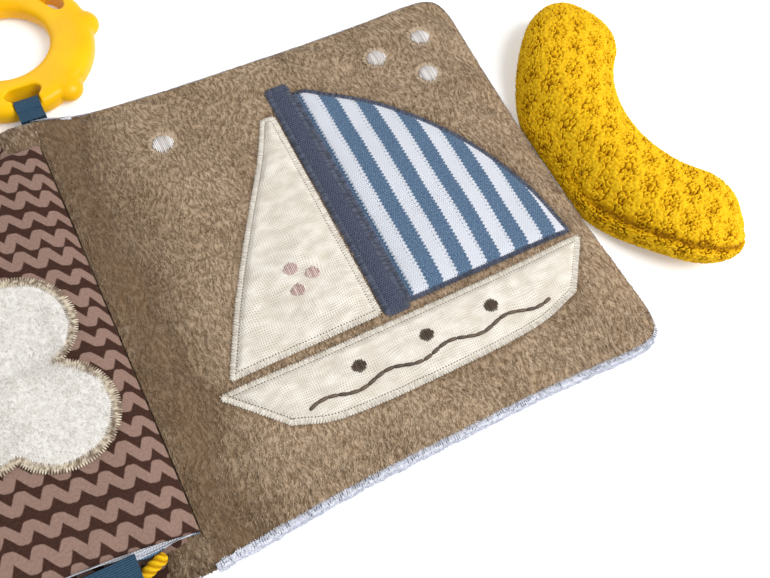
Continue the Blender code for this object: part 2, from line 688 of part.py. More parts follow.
def main():
    for existing in list(bpy.data.objects):
        bpy.data.objects.remove(existing)

    spine = (0, 0, SPINE_HEIGHT)
    cover = (COVER_WIDTH, COVER_HEIGHT, COVER_DRAW_IN, COVER_EAR, COVER_CORNER_POWER, COVER_SPINE_SWELL)
    inner = (MIDDLE_WIDTH, MIDDLE_HEIGHT, MIDDLE_DRAW_IN, MIDDLE_EAR, MIDDLE_CORNER_POWER, MIDDLE_SPINE_SWELL)
    back = Leaf(1, *cover, True)
    front = Leaf(-1, *cover, True)
    middle = Leaf(-1, *inner, False)
    plush = material("brown_plush", BROWN_PLUSH, 0.95)
    printed = material("printed_cotton", PRINTED_COTTON, 0.9)

    back_body = hinge("book_back", (0, 0, 0))
    front_body = hinge("front_cover_hinge", spine)
    middle_body = hinge("middle_leaf_hinge", spine, front_body)

    make_leaf("back_cover", back, "_plush", plush, back_body)
    make_spine(back_body)
    make_boat(back, back_body)
    make_dots(back, back_body)
    make_leaf("front_cover", front, "_print", printed, front_body)
    make_cord(front_body)
    make_leaf("middle_leaf", middle, "_print", printed, middle_body)
    make_cloud(middle, middle_body)
    make_tab(middle, middle_body)

    seam_level = back.levels(1, 0.5)[3] + SPINE_HEIGHT
    reach_up = CRESCENT_REACH * math.tan(math.acos(CRESCENT_REACH / (CRESCENT_RADIUS + CRESCENT_HALF_WIDTH)))
    widest = (abs(CRESCENT_CENTRE_Y) + reach_up) / back.half_height
    page_edge = back.start + back.width_at(widest)
    crescent_hinge = hinge(
        "crescent_hinge",
        (page_edge + TOUCH_GAP / 2, CRESCENT_CENTRE_Y, seam_level + seam_half(KNIT_THICKNESS)),
    )
    make_crescent(Crescent(page_edge + TOUCH_GAP, seam_level), crescent_hinge)

    out = RING_CENTRE_X - back.start
    page_top = back.side_at(max(out - LOOP_TAPE_WIDTH / 2, 0))
    seam_height = back.levels(out / back.width, 1)[3] + SPINE_HEIGHT
    bar_y = page_top + RING_TO_PAGE + (RING_OUTER_RADIUS - SLOT_FROM_CENTRE - SLOT_HALF_WIDTH) / 2
    loop_top = seam_height + LOOP_TAPE_THICKNESS + TOUCH_GAP / 2
    loop_hinge = hinge("loop_hinge", (RING_CENTRE_X, page_top + TOUCH_GAP / 2, loop_top))
    make_loop(page_top, seam_height, bar_y, loop_hinge)
    ring_hinge = hinge("ring_hinge", (RING_CENTRE_X, bar_y, RING_THICKNESS / 2), loop_hinge)
    make_ring(page_top, ring_hinge)


main()
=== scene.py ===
"""The dressed crinkle cloth book: padded pages, sewn picture, stuffed crescent, teether, tab and cord.

Lengths are in millimetres up to the last step of making a mesh, which turns them to metres.
X runs across the open pages, Y along the spine towards the pages' top, Z up from the table.
"""

import math

import bpy
import numpy as np
from mathutils import Matrix, Vector


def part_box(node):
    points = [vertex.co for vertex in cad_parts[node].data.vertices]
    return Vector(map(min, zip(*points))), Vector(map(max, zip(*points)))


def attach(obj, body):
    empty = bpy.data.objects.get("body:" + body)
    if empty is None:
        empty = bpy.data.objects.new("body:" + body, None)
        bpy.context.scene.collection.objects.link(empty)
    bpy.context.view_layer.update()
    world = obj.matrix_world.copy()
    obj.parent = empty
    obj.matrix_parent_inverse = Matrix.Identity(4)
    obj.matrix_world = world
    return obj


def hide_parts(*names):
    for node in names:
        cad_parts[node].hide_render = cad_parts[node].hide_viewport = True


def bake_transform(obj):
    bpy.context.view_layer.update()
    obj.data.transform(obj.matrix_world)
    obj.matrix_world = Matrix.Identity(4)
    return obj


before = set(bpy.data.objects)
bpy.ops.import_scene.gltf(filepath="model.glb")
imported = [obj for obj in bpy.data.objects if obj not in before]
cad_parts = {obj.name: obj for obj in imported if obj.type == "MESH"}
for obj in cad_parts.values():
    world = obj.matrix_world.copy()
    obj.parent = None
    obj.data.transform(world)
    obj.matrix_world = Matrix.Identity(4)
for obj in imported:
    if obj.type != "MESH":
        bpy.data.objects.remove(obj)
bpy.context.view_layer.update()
MM = 0.001

# Camera, solved from the page and the ring
CAMERA_AT = (14.36, -128.09, 281.34)
CAMERA_AZIMUTH = math.radians(-38.754)
CAMERA_ELEVATION = math.radians(64.956)
CAMERA_ROLL = math.radians(12.443)
CAMERA_LENS = 38.48

# Leaves
SPINE_HEIGHT = 11.0
COVER_WIDTH = 181.5
COVER_HEIGHT = 184.0
COVER_DRAW_IN = 3.6
COVER_EAR = 70.0
MIDDLE_WIDTH = 173.0
MIDDLE_HEIGHT = 158.0
MIDDLE_DRAW_IN = 4.5
MIDDLE_EAR = 50.0
MIDDLE_TILT = math.radians(8)
MIDDLE_OVER_SPINE = 2.0
LEAF_START = 2.5
LEAF_HALF = 4.5
LEAF_LOW = -7.0
EDGE_SWELL = 22.0
SPINE_BEND = 22.0
FACE_INSET_BOTTOM = 2.0
FACE_INSET_OUTER = 0.6
SEAM_HALF = 0.2
CORNER_POWER = 15

# Sewn picture, as places across and up the back cover
PATCH_RISE = 0.75
SATIN_WIDTH = 2.1
STITCH_PITCH = 0.52
STITCH_POINTS = 28
MAST_WIDTH = 8.0
DOT_RADIUS = 4.0

# Free cord: the places that it is laid through
CORD_ROUTE = (
    (-9.5, -81.1, 11.8), (-13.5, -82.2, 11.4), (-17.3, -83.6, 10.7), (-20.8, -85.7, 9.8), (-24.2, -88.5, 8.8),
    (-27.8, -92.2, 7.0), (-31.9, -96.2, 4.4), (-37.0, -100.1, 2.8), (-44.0, -103.6, 2.25), (-53.0, -106.4,
                                                                                            2.2),
    (-62.0, -109.8, 2.2), (-70.0, -114.6, 2.2), (-77.0, -120.4, 2.2), (-83.0, -126.0, 2.2),
)
CORD_RADIUS = 2.1

# Stuffed crescent
CRESCENT_SEAM_X = 181.025
CRESCENT_SEAM_HEIGHT = 4.0
CRESCENT_RADIUS = 62.5
CRESCENT_CENTRE_Y = -7.5
CRESCENT_HALF_WIDTH = 20.0
CRESCENT_REACH = 80.0
CRESCENT_HALF = 12.2
CRESCENT_HALF_ANGLE = math.radians(64)
CRESCENT_TIP_SHARE = 0.36
CRESCENT_END_SWELL = 20.0
CRESCENT_LIFT = 12.0
KNIT_RIB_PITCH = 8.2
KNIT_CLUSTER_PITCH = 12.1
CRESCENT_PANELS = (
    ("crescent_top_knit", 1, "crescent_upper_knit"),
    ("crescent_bottom_knit", -1, "crescent_lower_knit"),
)

# Ring and its tape loop
RING_CENTRE = (4.0, 133.5, 5.0)
RING_BAR_Y = 100.25
LOOP_WIDTH = 9.5
LOOP_START_Y = 92.15
LOOP_SEAM_HEIGHT = 8.8
LOOP_RADIUS = 4.35
LOOP_THICKNESS = 0.8

# Zigzag print
ZIGZAG_PERIOD = 8.0
ZIGZAG_ROWS = 8.4
ZIGZAG_HALF = 2.85
ZIGZAG_STROKE = 1.66
ZIGZAG_SWING = 27.0
ZIGZAG_RISE = 0.36 * ZIGZAG_PERIOD
ZIGZAG_SLOPE = 0.167
ZIGZAG_START = (-12.68, -73.84)
ZIGZAG_CUT = 0.14

# Gauze's thread scale (threads 0.9 mm apart, coarser than the real 0.5), jersey's stripes and wales
MUSLIN_THREADS = 0.36
STRIPE_WIDTH = 6.28
STRIPE_START = 97.3
WALE_PITCH = 0.78

# White floor: its glow, and the rays that look straight at the whites
FLOOR_GLOW = 0.22
SEEN_BY = ("Is Camera Ray", "Is Glossy Ray", "Is Transmission Ray")

# Sewn picture: the mast's place and ends, and the four dots
MAST_X = 94.6
MAST_ENDS = (-38.3, 68.6)
DOTS = ((139.0, 66.0), (155.2, 50.2), (161.2, 68.6), (44.2, 60.7))

# Cloth trial of the page's puffs
QUILT_POINTS = 72
QUILT_HELD = 1.6
QUILT_PRESSURE = 4.0
QUILT_EASE = 0.04
QUILT_STEPS = 20
QUILT_SHARE = 0.3
QUILT_MOST = 2.0

# Outer cloth: its roll out of the seam, and its relief on the table
ROLL_OUT = (0.0, 1.2, 2.3, 2.9, 2.7, 1.4, -2.0, -6.0)
ROLL_HEIGHT = (4.75, 4.55, 4.05, 3.1, 1.6, 0.5, 0.05, 0.03)
ROLL_SHARES = {"bottom": 1.0, "outer": 0.25, "top": 0.3}
UNDERSIDE_MOST = 1.1

# Spine's cloths
SPINE_STRIP = (-11.0, 3.6)
SPINE_STRIP_Y = 91.2
SPINE_HAIRS = 5000

# Narrowest patch whose flat size is worked out
NARROWEST_SHEET = 10.0

# Loose hairs, each for a tuft of real fibres ten times finer: how many, length and width of one
UP = np.array((0.0, 0.0, 1.0))
PLUSH_HAIRS = 120000
PLUSH_HAIR = (1.15, 0.27)
FRINGE_HAIRS = 16000
FRINGE_HAIR = (0.8, 0.22)
FLEECE_HAIRS = 16000
FLEECE_HAIR = (1.0, 0.18)
DOT_FRINGE_HAIRS = 420

# Cloud
CLOUD_LOBES = ((-23.5, -27.5, 18.0), (-26.0, 6.0, 17.8), (-46.0, -22.0, 17.0), (-44.0, 0.0, 17.0))
CLOUD_MIDDLE = (-35.5, -11.5)
CLOUD_RISE = 1.0

# Tape tab
TAB_SHARES = (
    (0, 0.12), (0.2, 0.42), (0.5, 0.84), (0.8, 1.0), (0.95, 0.88), (1.0, 0.62),
    (0.95, 0.38), (0.8, 0.24), (0.5, 0.16), (0.2, 0.10), (0, -0.12),
)
TAB_OUT = (18.0, 48.0)
TAB_LENGTH = 28.0
TAB_RISE = 4.2

# Knit
PANEL_SHIFT = (3.1, 5.7)
CURL_PITCH = 2.2
KNIT_DEPTH = 1.6
KNIT_CREASE = 0.86

# Lamps and surround
WORLD_STRENGTH = 0.43
KEY_POWER = 12.8
KEY_AT = (0.6, -0.45, 0.8)
KEY_SIZE = 0.7
FILL_POWER = 3.0
FILL_AT = (-0.3, 0.8, 0.8)
FILL_SIZE = 0.9

# Nodes used most: the sockets that are fed in turn, the output that is read, and the settings
USUAL_NODES = {
    "Mix": ((0, 6, 7), 2, {"data_type": "RGBA"}),
    "MapRange": ((0, 1, 2, 3, 4), 0, {"interpolation_type": "SMOOTHSTEP"}),
    "TexNoise": ((0, 2, 3, 4), 0, {}),
}


def linear(hex_colour):
    """Linear red, green, blue and alpha of an sRGB hex colour."""
    channels = [int(hex_colour[start : start + 2], 16) / 255 for start in (0, 2, 4)]
    return [c / 12.92 if c <= 0.04045 else ((c + 0.055) / 1.055) ** 2.4 for c in channels] + [1]


def add_node(tree, kind, inputs=(), output=None, **settings):
    """Add one node with its settings; its inputs are values, hex colours or other nodes' outputs."""
    sockets, usual_output, usual_settings = USUAL_NODES.get(kind, (range(len(inputs)), 0, {}))
    made = tree.nodes.new("ShaderNode" + kind)
    for key, value in {**usual_settings, **settings}.items():
        setattr(made, key, value)
    pairs = inputs.items() if isinstance(inputs, dict) else zip(sockets, inputs)
    for place, value in pairs:
        if isinstance(value, bpy.types.NodeSocket):
            tree.links.new(value, made.inputs[place])
        else:
            made.inputs[place].default_value = linear(value) if isinstance(value, str) else value
    return made.outputs[usual_output if output is None else output]


def looked_at(tree):
    """1 where the camera, a reflection or a see-through thing looks straight at a white, otherwise 0."""
    camera, glossy, transmission = (add_node(tree, "LightPath", output=name) for name in SEEN_BY)
    seen = add_node(tree, "Math", (camera, glossy), operation="MAXIMUM")
    return add_node(tree, "Math", (seen, transmission), operation="MAXIMUM")


class Finish:
    """A material whose shader is fed by nodes that are added one by one."""

    def __init__(self, name, colour, roughness, **shader_values):
        self.material = bpy.data.materials.new(name)
        self.material.use_nodes = True
        self.tree = self.material.node_tree
        self.shader = self.tree.nodes["Principled BSDF"]
        self.shader.inputs["Base Color"].default_value = linear(colour)
        self.shader.inputs["Roughness"].default_value = roughness
        for socket, value in shader_values.items():
            self.shader.inputs[socket.replace("_", " ")].default_value = value

    def add(self, kind, inputs=(), output=None, **settings):
        return add_node(self.tree, kind, inputs, output, **settings)

    def feed(self, socket, source):
        self.tree.links.new(source, self.shader.inputs[socket])

    def bump(self, *layers):
        """Raise the surface by several heights, each with its depth in millimetres."""
        normal = None
        for height, depth in layers:
            inputs = {"Strength": 1.0, "Distance": depth * MM, "Height": height}
            if normal:
                inputs["Normal"] = normal
            normal = self.add("Bump", inputs)
        self.feed("Normal", normal)


def cloth_places(f, stretch=(1, 1, 1)):
    """The flat cloth's own places in millimetres, stretched so that the grain of a pattern follows them."""
    place = f.add("Attribute", output=1, attribute_name="cloth")
    return f.add("VectorMath", (place, stretch), operation="MULTIPLY")


def relief_of(f):
    """How high the modelled pile, loop or crease stands, from 0 in the hollows to 1 on the tops."""
    return f.add("Attribute", output=2, attribute_name="relief")


def plush_finish():
    """Short-pile polyester plush (velboa), dyed taupe: fine dark creases part it, and its tips are pale."""
    f = Finish("brown_plush", "977d64", 0.95, Sheen_Weight=0.1, Sheen_Roughness=0.5, Specular_IOR_Level=0.1)
    f.shader.inputs["Sheen Tint"].default_value = linear("d8c8b4")
    place = cloth_places(f)
    wander = f.add("TexNoise", {0: place, 2: 0.03, 3: 2.0}, 1)
    moved = f.add("VectorMath", (wander, (16, 16, 0), place), operation="MULTIPLY_ADD")
    combed = f.add("VectorMath", (moved, (1, 0.42, 1)), operation="MULTIPLY")
    crease = f.add("MapRange", (f.add("TexNoise", (combed, 0.85, 2.5, 0.6)), 0.36, 0.6))
    pile = f.add("TexNoise", (f.add("VectorMath", (moved, (1, 0.5, 1)), operation="MULTIPLY"), 1.9, 2.0, 0.7))
    broad = f.add("MapRange", (f.add("TexNoise", (place, 0.04, 4.0, 0.65)), 0.3, 0.7))
    deep = f.add("Mix", (broad, "6d573e", "7f684e"))
    body = f.add("Mix", (broad, "a0896f", "b49e85"))
    colour = f.add("Mix", (crease, deep, body))
    colour = f.add("Mix", (f.add("MapRange", (pile, 0.5, 0.72, 0.0, 0.6)), colour, "c4ac8f"))
    # Painted shade: darker brown where the modelled relief sinks, in pile hollows, along the sewn borders and in
    # the spine's valley.
    colour = f.add("Mix", (f.add("MapRange", (relief_of(f), 0.0, 0.5, 0.45, 0.0)), colour, "5a432e"))
    # Painted shade: darker towards the spine, where the page slopes down into its valley.
    colour = f.add("Mix", (f.add("MapRange", (f.add("SeparateXYZ", (place,), 0), 2.0, 44.0, 0.6, 0.0)),
                           colour, "624c37"))
    f.feed("Base Color", colour)
    f.bump((crease, 0.4), (pile, 0.2))
    return f.material


def hair_finish(name, deep, pale, spine_shade=0.0):
    """The tips of a brushed synthetic pile: each hair has its own tone, with painted shade darkening them
    towards the spine.
    """
    f = Finish(name, pale, 0.9, Specular_IOR_Level=0.1)
    tone = f.add("Attribute", output=2, attribute_name="tone")
    place = cloth_places(f)
    broad = f.add("MapRange", (f.add("TexNoise", (place, 0.04, 4.0, 0.65)), 0.3, 0.7, -0.12, 0.12))
    share = f.add("Math", (tone, broad), operation="ADD", use_clamp=True)
    # Painted shade: the hairs darken towards the spine, where the page slopes into its valley.
    at_spine = f.add("MapRange", (f.add("SeparateXYZ", (place,), 0), 2.0, 44.0, spine_shade, 0.0))
    f.feed("Base Color", f.add("Mix", (at_spine, f.add("Mix", (share, deep, pale)), "624c37")))
    f.bump((f.add("TexNoise", (place, 4.0, 2.0, 0.55)), 0.05))
    return f.material


def zigzag_turns():
    """The places of a zigzag line over one period and the runs beside it, each corner cut to round it."""
    corners = np.array((
        (ZIGZAG_RISE - ZIGZAG_PERIOD, ZIGZAG_HALF), (0.0, -ZIGZAG_HALF), (ZIGZAG_RISE, ZIGZAG_HALF),
        (ZIGZAG_PERIOD, -ZIGZAG_HALF), (ZIGZAG_RISE + ZIGZAG_PERIOD, ZIGZAG_HALF),
    ))
    turns = [corners[0]]
    for before, corner, after in zip(corners, corners[1:], corners[2:]):
        turns.append(corner + ZIGZAG_CUT * (before - corner))
        turns.append(corner + ZIGZAG_CUT * (after - corner))
    return [tuple(float(c) for c in turn) for turn in turns + [corners[-1]]]


def zigzag_distance(f, across, up):
    """Distance from the zigzag line at a place across its period and up from its middle."""
    place = f.add("CombineXYZ", (across, up, 0.0))
    nearest = None
    turns = zigzag_turns()
    for (x0, y0), (x1, y1) in zip(turns, turns[1:]):
        run = (x1 - x0, y1 - y0, 0)
        length = run[0] ** 2 + run[1] ** 2
        out = f.add("VectorMath", (place, (x0, y0, 0)), operation="SUBTRACT")
        along = f.add("VectorMath", (out, tuple(c / length for c in run)), 1, operation="DOT_PRODUCT")
        along = f.add("Math", (along, 0.0), operation="ADD", use_clamp=True)
        foot = f.add("VectorMath", {0: run, 3: along}, operation="SCALE")
        gap = f.add("VectorMath", (out, foot), 1, operation="DISTANCE")
        nearest = f.add("Math", (nearest, gap), operation="MINIMUM") if nearest else gap
    return nearest


def print_finish():
    """Woven cotton (poplin) screen-printed in dark brown, with rows of zigzag lines left pale."""
    f = Finish("printed_cotton", "4d332b", 0.85, Specular_IOR_Level=0.15)
    place = cloth_places(f)
    fray = f.add("TexNoise", {0: place, 2: 2.2, 3: 2.0}, 1)
    loose = f.add("VectorMath", (fray, (0.35, 0.35, 0), place), operation="MULTIPLY_ADD")
    x = f.add("SeparateXYZ", (loose,), 0)
    y = f.add("SeparateXYZ", (loose,), 1)
    across = f.add("Math", (f.add("Math", (x, ZIGZAG_START[0]), operation="SUBTRACT"), ZIGZAG_PERIOD),
                   operation="FLOORED_MODULO")
    level = f.add("Math", (x, ZIGZAG_SLOPE, y), operation="MULTIPLY_ADD")
    level = f.add("Math", (level, ZIGZAG_START[1]), operation="SUBTRACT")
    turn = f.add("Math", (across, 2 * math.pi / ZIGZAG_PERIOD, -1.2), operation="MULTIPLY_ADD")
    wave = f.add("Math", (f.add("Math", (turn,), operation="SINE"), ZIGZAG_HALF), operation="MULTIPLY")
    above = f.add("Math", (f.add("Math", (level, wave), operation="SUBTRACT"), ZIGZAG_ROWS / 2),
                  operation="ADD")
    above = f.add("Math", (above, ZIGZAG_ROWS), operation="FLOORED_MODULO")
    up = f.add("Math", (f.add("Math", (above, wave), operation="ADD"), ZIGZAG_ROWS / 2), operation="SUBTRACT")
    swing = f.add("Math",
                  (f.add("Math", (level, 2 * math.pi / ZIGZAG_SWING, -1.0), operation="MULTIPLY_ADD"),),
                  operation="SINE")
    up = f.add("Math", (up, f.add("Math", (swing, 0.13, 1.0), operation="MULTIPLY_ADD")),
               operation="MULTIPLY")
    stroke = f.add("MapRange",
                   (zigzag_distance(f, across, up), ZIGZAG_STROKE - 0.2, ZIGZAG_STROKE + 0.2, 1.0, 0.0))
    weave = f.add("TexWave", {0: place, 1: 0.95, 2: 0.6, 3: 1.0}, 1, bands_direction="Y")
    weft = f.add("TexWave", {0: place, 1: 0.95, 2: 0.6, 3: 1.0}, 1, bands_direction="X")
    mottle = f.add("TexNoise", (place, 1.1, 4.0, 0.65))
    dark = f.add("Mix", (f.add("MapRange", (mottle, 0.3, 0.75)), "352018", "432c24"))
    pale = f.add("Mix", (f.add("MapRange", (mottle, 0.3, 0.75)), "876c61", "967b6f"))
    f.feed("Base Color", f.add("Mix", (stroke, dark, pale)))
    f.bump((weave, 0.05), (weft, 0.05), (mottle, 0.05))
    return f.material


def muslin_finish():
    """Undyed double cotton gauze (muslin): two open layers tacked together, puffed into small crinkles."""
    f = Finish("cream_muslin", "ddd6c9", 0.9, Specular_IOR_Level=0.15)
    place = cloth_places(f)
    drift = f.add("TexNoise", {0: place, 2: 0.06, 3: 2.0}, 1)
    drawn = f.add("VectorMath", (drift, (5, 5, 0), place), operation="MULTIPLY_ADD")
    crinkle = f.add("TexNoise",
                    (f.add("VectorMath", (place, (0.5, 1.0, 1.0)), operation="MULTIPLY"), 0.3, 3.0, 0.55))
    warp = f.add("TexWave", {0: drawn, 1: MUSLIN_THREADS, 2: 0.5, 3: 2.0}, 1, bands_direction="X")
    weft = f.add("TexWave", {0: drawn, 1: MUSLIN_THREADS, 2: 0.5, 3: 2.0}, 1, bands_direction="Y")
    mesh = f.add("Math", (warp, weft), operation="MAXIMUM")
    open_gauze = f.add("MapRange", (f.add("TexNoise", (place, 0.12, 2.0, 0.55)), 0.3, 0.6, 0.15, 0.65))
    # Painted light and shade: paler on the crinkles' tops, darker in their folds.
    colour = f.add("Mix", (f.add("MapRange", (crinkle, 0.3, 0.7)), "cfc7ba", "e3ddd3"))
    # Painted shade: darker where the modelled relief sinks.
    colour = f.add("Mix", (f.add("MapRange", (relief_of(f), 0.1, 0.55, 0.3, 0.0)), colour, "bfb4a0"))
    gaps = f.add("Math", (f.add("MapRange", (mesh, 0.1, 0.75, 1.0, 0.0)), open_gauze), operation="MULTIPLY")
    f.feed("Base Color", f.add("Mix", (gaps, colour, "9a8f7f")))
    f.bump((crinkle, 0.3), (mesh, 0.12))
    return f.material


def knit_stitches(f, place, stitch):
    """Small V stitches of a fine jersey: wales along the first direction, a stitch's height apart."""
    x = f.add("SeparateXYZ", (place,), 0)
    y = f.add("SeparateXYZ", (place,), 1)
    wale = f.add("Math", (y, WALE_PITCH), operation="PINGPONG")
    lean = f.add("Math", (wale, 1.1, x), operation="MULTIPLY_ADD")
    turn = f.add("Math", (lean, 2 * math.pi / stitch), operation="MULTIPLY")
    rows = f.add("Math", (f.add("Math", (turn,), operation="SINE"), 0.5, 0.5), operation="MULTIPLY_ADD")
    rib = f.add("Math", (f.add("Math", (y, math.pi / WALE_PITCH), operation="MULTIPLY"),), operation="SINE")
    return f.add("Math", (f.add("Math", (rib,), operation="ABSOLUTE"), rows), operation="MULTIPLY")


def jersey_finish(name, blue_share, start, slant=(1, 0, 0)):
    """Cotton single jersey, yarn-dyed white and denim blue; stitches drawn coarser than the real 0.7 mm."""
    f = Finish(name, "eceef4", 0.9, Specular_IOR_Level=0.15)
    place = cloth_places(f)
    stitches = knit_stitches(f, place, 0.95)
    fuzz = f.add("TexNoise", {0: place, 2: 1.6, 3: 3.0}, 0)
    y = f.add("SeparateXYZ", (place,), 1)
    across = f.add("VectorMath", (place, slant), 1, operation="DOT_PRODUCT")
    teeth = f.add("Math", (y, WALE_PITCH), operation="PINGPONG")
    shifted = f.add("Math", (teeth, 1.1, across), operation="MULTIPLY_ADD")
    shifted = f.add("Math", (fuzz, 1.3, shifted), operation="MULTIPLY_ADD")
    shifted = f.add("Math", (shifted, start), operation="SUBTRACT")
    band = f.add("Math", (shifted, 2 * STRIPE_WIDTH), operation="FLOORED_MODULO")
    blue_from = f.add("MapRange", (band, 0.0, 0.35))
    blue_to = f.add("MapRange",
                    (band, 2 * STRIPE_WIDTH * blue_share, 2 * STRIPE_WIDTH * blue_share + 0.35, 1.0, 0.0))
    blue = f.add("Math", (blue_from, blue_to), operation="MULTIPLY")
    flecks = f.add("MapRange", (stitches, 0.0, 0.5))
    white = f.add("Mix", (flecks, "cfd4e0", "e9ebf2"))
    denim = f.add("Mix", (f.add("Math", (flecks, f.add("MapRange", (fuzz, 0.35, 0.6))),
                                operation="MULTIPLY"), "48617d", "7d98b3"))
    denim = f.add("Mix", (f.add("MapRange", (f.add("TexNoise", (place, 0.9, 3.0, 0.7)), 0.5, 0.75, 0.0,
                                             0.5)), denim, "6d7396"))
    hole_row = f.add("Math", (band, 2 * STRIPE_WIDTH - 0.9), operation="SUBTRACT")
    hole_step = f.add("Math", (f.add("Math", (y, 0.85), operation="PINGPONG"), 0.85), operation="SUBTRACT")
    hole_place = f.add("CombineXYZ", (hole_row, hole_step, 0.0))
    hole = f.add("MapRange",
                 (f.add("VectorMath", (hole_place,), 1, operation="LENGTH"), 0.16, 0.38, 0.75, 0.0))
    cloth = f.add("Mix", (hole, f.add("Mix", (blue, white, denim)), "5d6f88"))
    f.feed("Base Color", cloth)
    f.bump((stitches, 0.35))
    return f.material


def outer_jersey_finish():
    """White cotton interlock with a faint blue cast: the outer cloth, a band along the page's seam."""
    f = Finish("outer_jersey", "eff1f3", 0.9, Specular_IOR_Level=0.15)
    place = cloth_places(f)
    stitches = knit_stitches(f, place, 0.9)
    blots = f.add("TexNoise", (place, 0.35, 3.0, 0.6))
    loops = f.add("TexNoise", (place, 1.0, 2.0, 0.6))
    white = f.add("Mix", (f.add("MapRange", (stitches, 0.0, 0.45)), "d4d6e1", "ebecf2"))
    colour = f.add("Mix", (f.add("MapRange", (blots, 0.45, 0.75, 0.0, 0.3)), white, "c3c7da"))
    f.feed("Base Color", f.add("Mix", (f.add("MapRange", (loops, 0.3, 0.5, 0.45, 0.0)), colour, "b3b8cc")))
    f.bump((stitches, 0.15), (blots, 0.3), (loops, 0.4))
    return f.material


def band_finish():
    """Navy rib knit band: fine cords with dark specks between them."""
    f = Finish("navy_band", "565e71", 0.9, Specular_IOR_Level=0.15)
    place = cloth_places(f)
    stitches = knit_stitches(f, place, 1.0)
    specks = f.add("TexNoise",
                   (f.add("VectorMath", (place, (1.0, 0.5, 1.0)), operation="MULTIPLY"), 1.7, 3.0, 0.7))
    colour = f.add("Mix", (f.add("MapRange", (stitches, 0.0, 0.5)), "2e3445", "5d6377"))
    colour = f.add("Mix", (f.add("MapRange", (specks, 0.3, 0.48, 0.8, 0.0)), colour, "1f2430"))
    colour = f.add("Mix", (f.add("MapRange", (specks, 0.58, 0.74, 0.0, 0.5)), colour, "8e94a5"))
    f.feed("Base Color", colour)
    f.bump((stitches, 0.25), (specks, 0.2))
    return f.material


def fleece_finish():
    """White polyester fleece: a brushed, slightly matted short pile."""
    f = Finish("cloud_fleece", "e6e2dc", 0.95, Sheen_Weight=0.1, Sheen_Roughness=0.5, Specular_IOR_Level=0.1)
    place = cloth_places(f)
    tufts = f.add("TexNoise", (place, 0.35, 4.0, 0.6))
    hairs = f.add("TexNoise", (place, 2.2, 2.0, 0.7))
    # Painted shade: darker in the low places between the tufts, the same noise that raises them.
    colour = f.add("Mix", (f.add("MapRange", (tufts, 0.34, 0.62)), "cfcbc4", "dedbd6"))
    colour = f.add("Mix", (f.add("MapRange", (hairs, 0.32, 0.5, 0.25, 0.0)), colour, "bdb8af"))
    f.feed("Base Color", colour)
    f.bump((tufts, 0.25), (hairs, 0.1))
    return f.material


def tape_finish():
    """Petrol blue grosgrain tape: woven polyester with close cross ribs."""
    f = Finish("petrol_tape", "2f4f66", 0.7, Specular_IOR_Level=0.2)
    place = cloth_places(f)
    ribs = f.add("TexWave", {0: place, 1: 0.42, 2: 0.3, 3: 1.0}, 1, bands_direction="Y")
    specks = f.add("TexNoise", (place, 1.6, 2.0, 0.6))
    colour = f.add("Mix", (f.add("MapRange", (ribs, 0.1, 0.8)), "1b3244", "2f4f67"))
    f.feed("Base Color", f.add("Mix", (f.add("MapRange", (specks, 0.4, 0.75, 0.0, 0.35)), colour, "42627a")))
    f.bump((ribs, 0.18))
    return f.material


def yellow_knit_finish():
    """Mustard cotton in an openwork knit, with painted highlight on the ribs and painted shade, deep ochre, in
    the eyelets.
    """
    f = Finish("yellow_knit", "e5b214", 0.85, Specular_IOR_Level=0.15)
    place = cloth_places(f)
    yarn = f.add("TexNoise", {0: place, 2: 1.7, 3: 3.0, 4: 0.65}, 0)
    # Painted shade: deep ochre where the modelled relief is low, in the eyelets, curls and along the seam.
    colour = f.add("Mix", (f.add("MapRange", (relief_of(f), 0.12, 0.72)), "906200", "dda704"))
    # Painted highlight: brighter yellow on the tops of the ribs.
    colour = f.add("Mix", (f.add("MapRange", (relief_of(f), 0.6, 0.95, 0.0, 0.9)), colour, "f0c31c"))
    colour = f.add("Mix", (f.add("MapRange", (yarn, 0.32, 0.55, 0.5, 0.0)), colour, "b17c00"))
    f.feed("Base Color", colour)
    f.bump((yarn, 0.3))
    return f.material


def thread_finish(name, dark, pale, roughness=0.5):
    """Rayon embroidery thread: many glossy filaments laid side by side, toned from stitch to stitch."""
    f = Finish(name, pale, roughness)
    tone = f.add("Attribute", output=2, attribute_name="tone")
    place = cloth_places(f)
    hairs = f.add("TexNoise", (place, 3.0, 2.0, 0.6))
    f.feed("Base Color", f.add("Mix", (f.add("MapRange", (hairs, 0.4, 0.8, 0.0, 0.5)),
                                       f.add("Mix", (tone, dark, pale)), pale)))
    f.bump((hairs, 0.06))
    return f.material


def rubber_finish():
    """Moulded yellow thermoplastic elastomer, a little translucent, with a satin polish."""
    f = Finish("yellow_rubber", "fbc605", 0.3, Subsurface_Weight=0.1, Subsurface_Scale=0.003,
               Specular_IOR_Level=0.22)
    f.shader.inputs["Subsurface Radius"].default_value = (1.0, 0.7, 0.15)
    place = f.add("TexCoord", output=3)
    cloud = f.add("TexNoise", (place, 60.0, 3.0, 0.55))
    f.feed("Base Color", f.add("Mix", (f.add("MapRange", (cloud, 0.3, 0.7)), "f0b400", "f6bf00")))
    f.feed("Roughness", f.add("MapRange", (cloud, 0.25, 0.75, 0.24, 0.38)))
    f.bump((cloud, 0.08))
    return f.material


def wadding_finish():
    """White polyester wadding inside the leaves."""
    f = Finish("white_wadding", "f2f0ec", 0.95)
    place = f.add("TexCoord", output=3)
    fibres = f.add("TexNoise", (place, 400.0, 4.0, 0.7))
    f.feed("Base Color", f.add("Mix", (f.add("MapRange", (fibres, 0.3, 0.7)), "dcd9d3", "f6f5f2")))
    f.bump((fibres, 0.4))
    return f.material


def foil_finish():
    """Clear crinkle film of oriented polypropylene."""
    f = Finish("clear_foil", "d8dce0", 0.25)
    place = f.add("TexCoord", output=3)
    folds = f.add("TexNoise", (place, 120.0, 5.0, 0.7))
    f.feed("Roughness", f.add("MapRange", (folds, 0.3, 0.7, 0.15, 0.4)))
    f.bump((folds, 0.8))
    return f.material


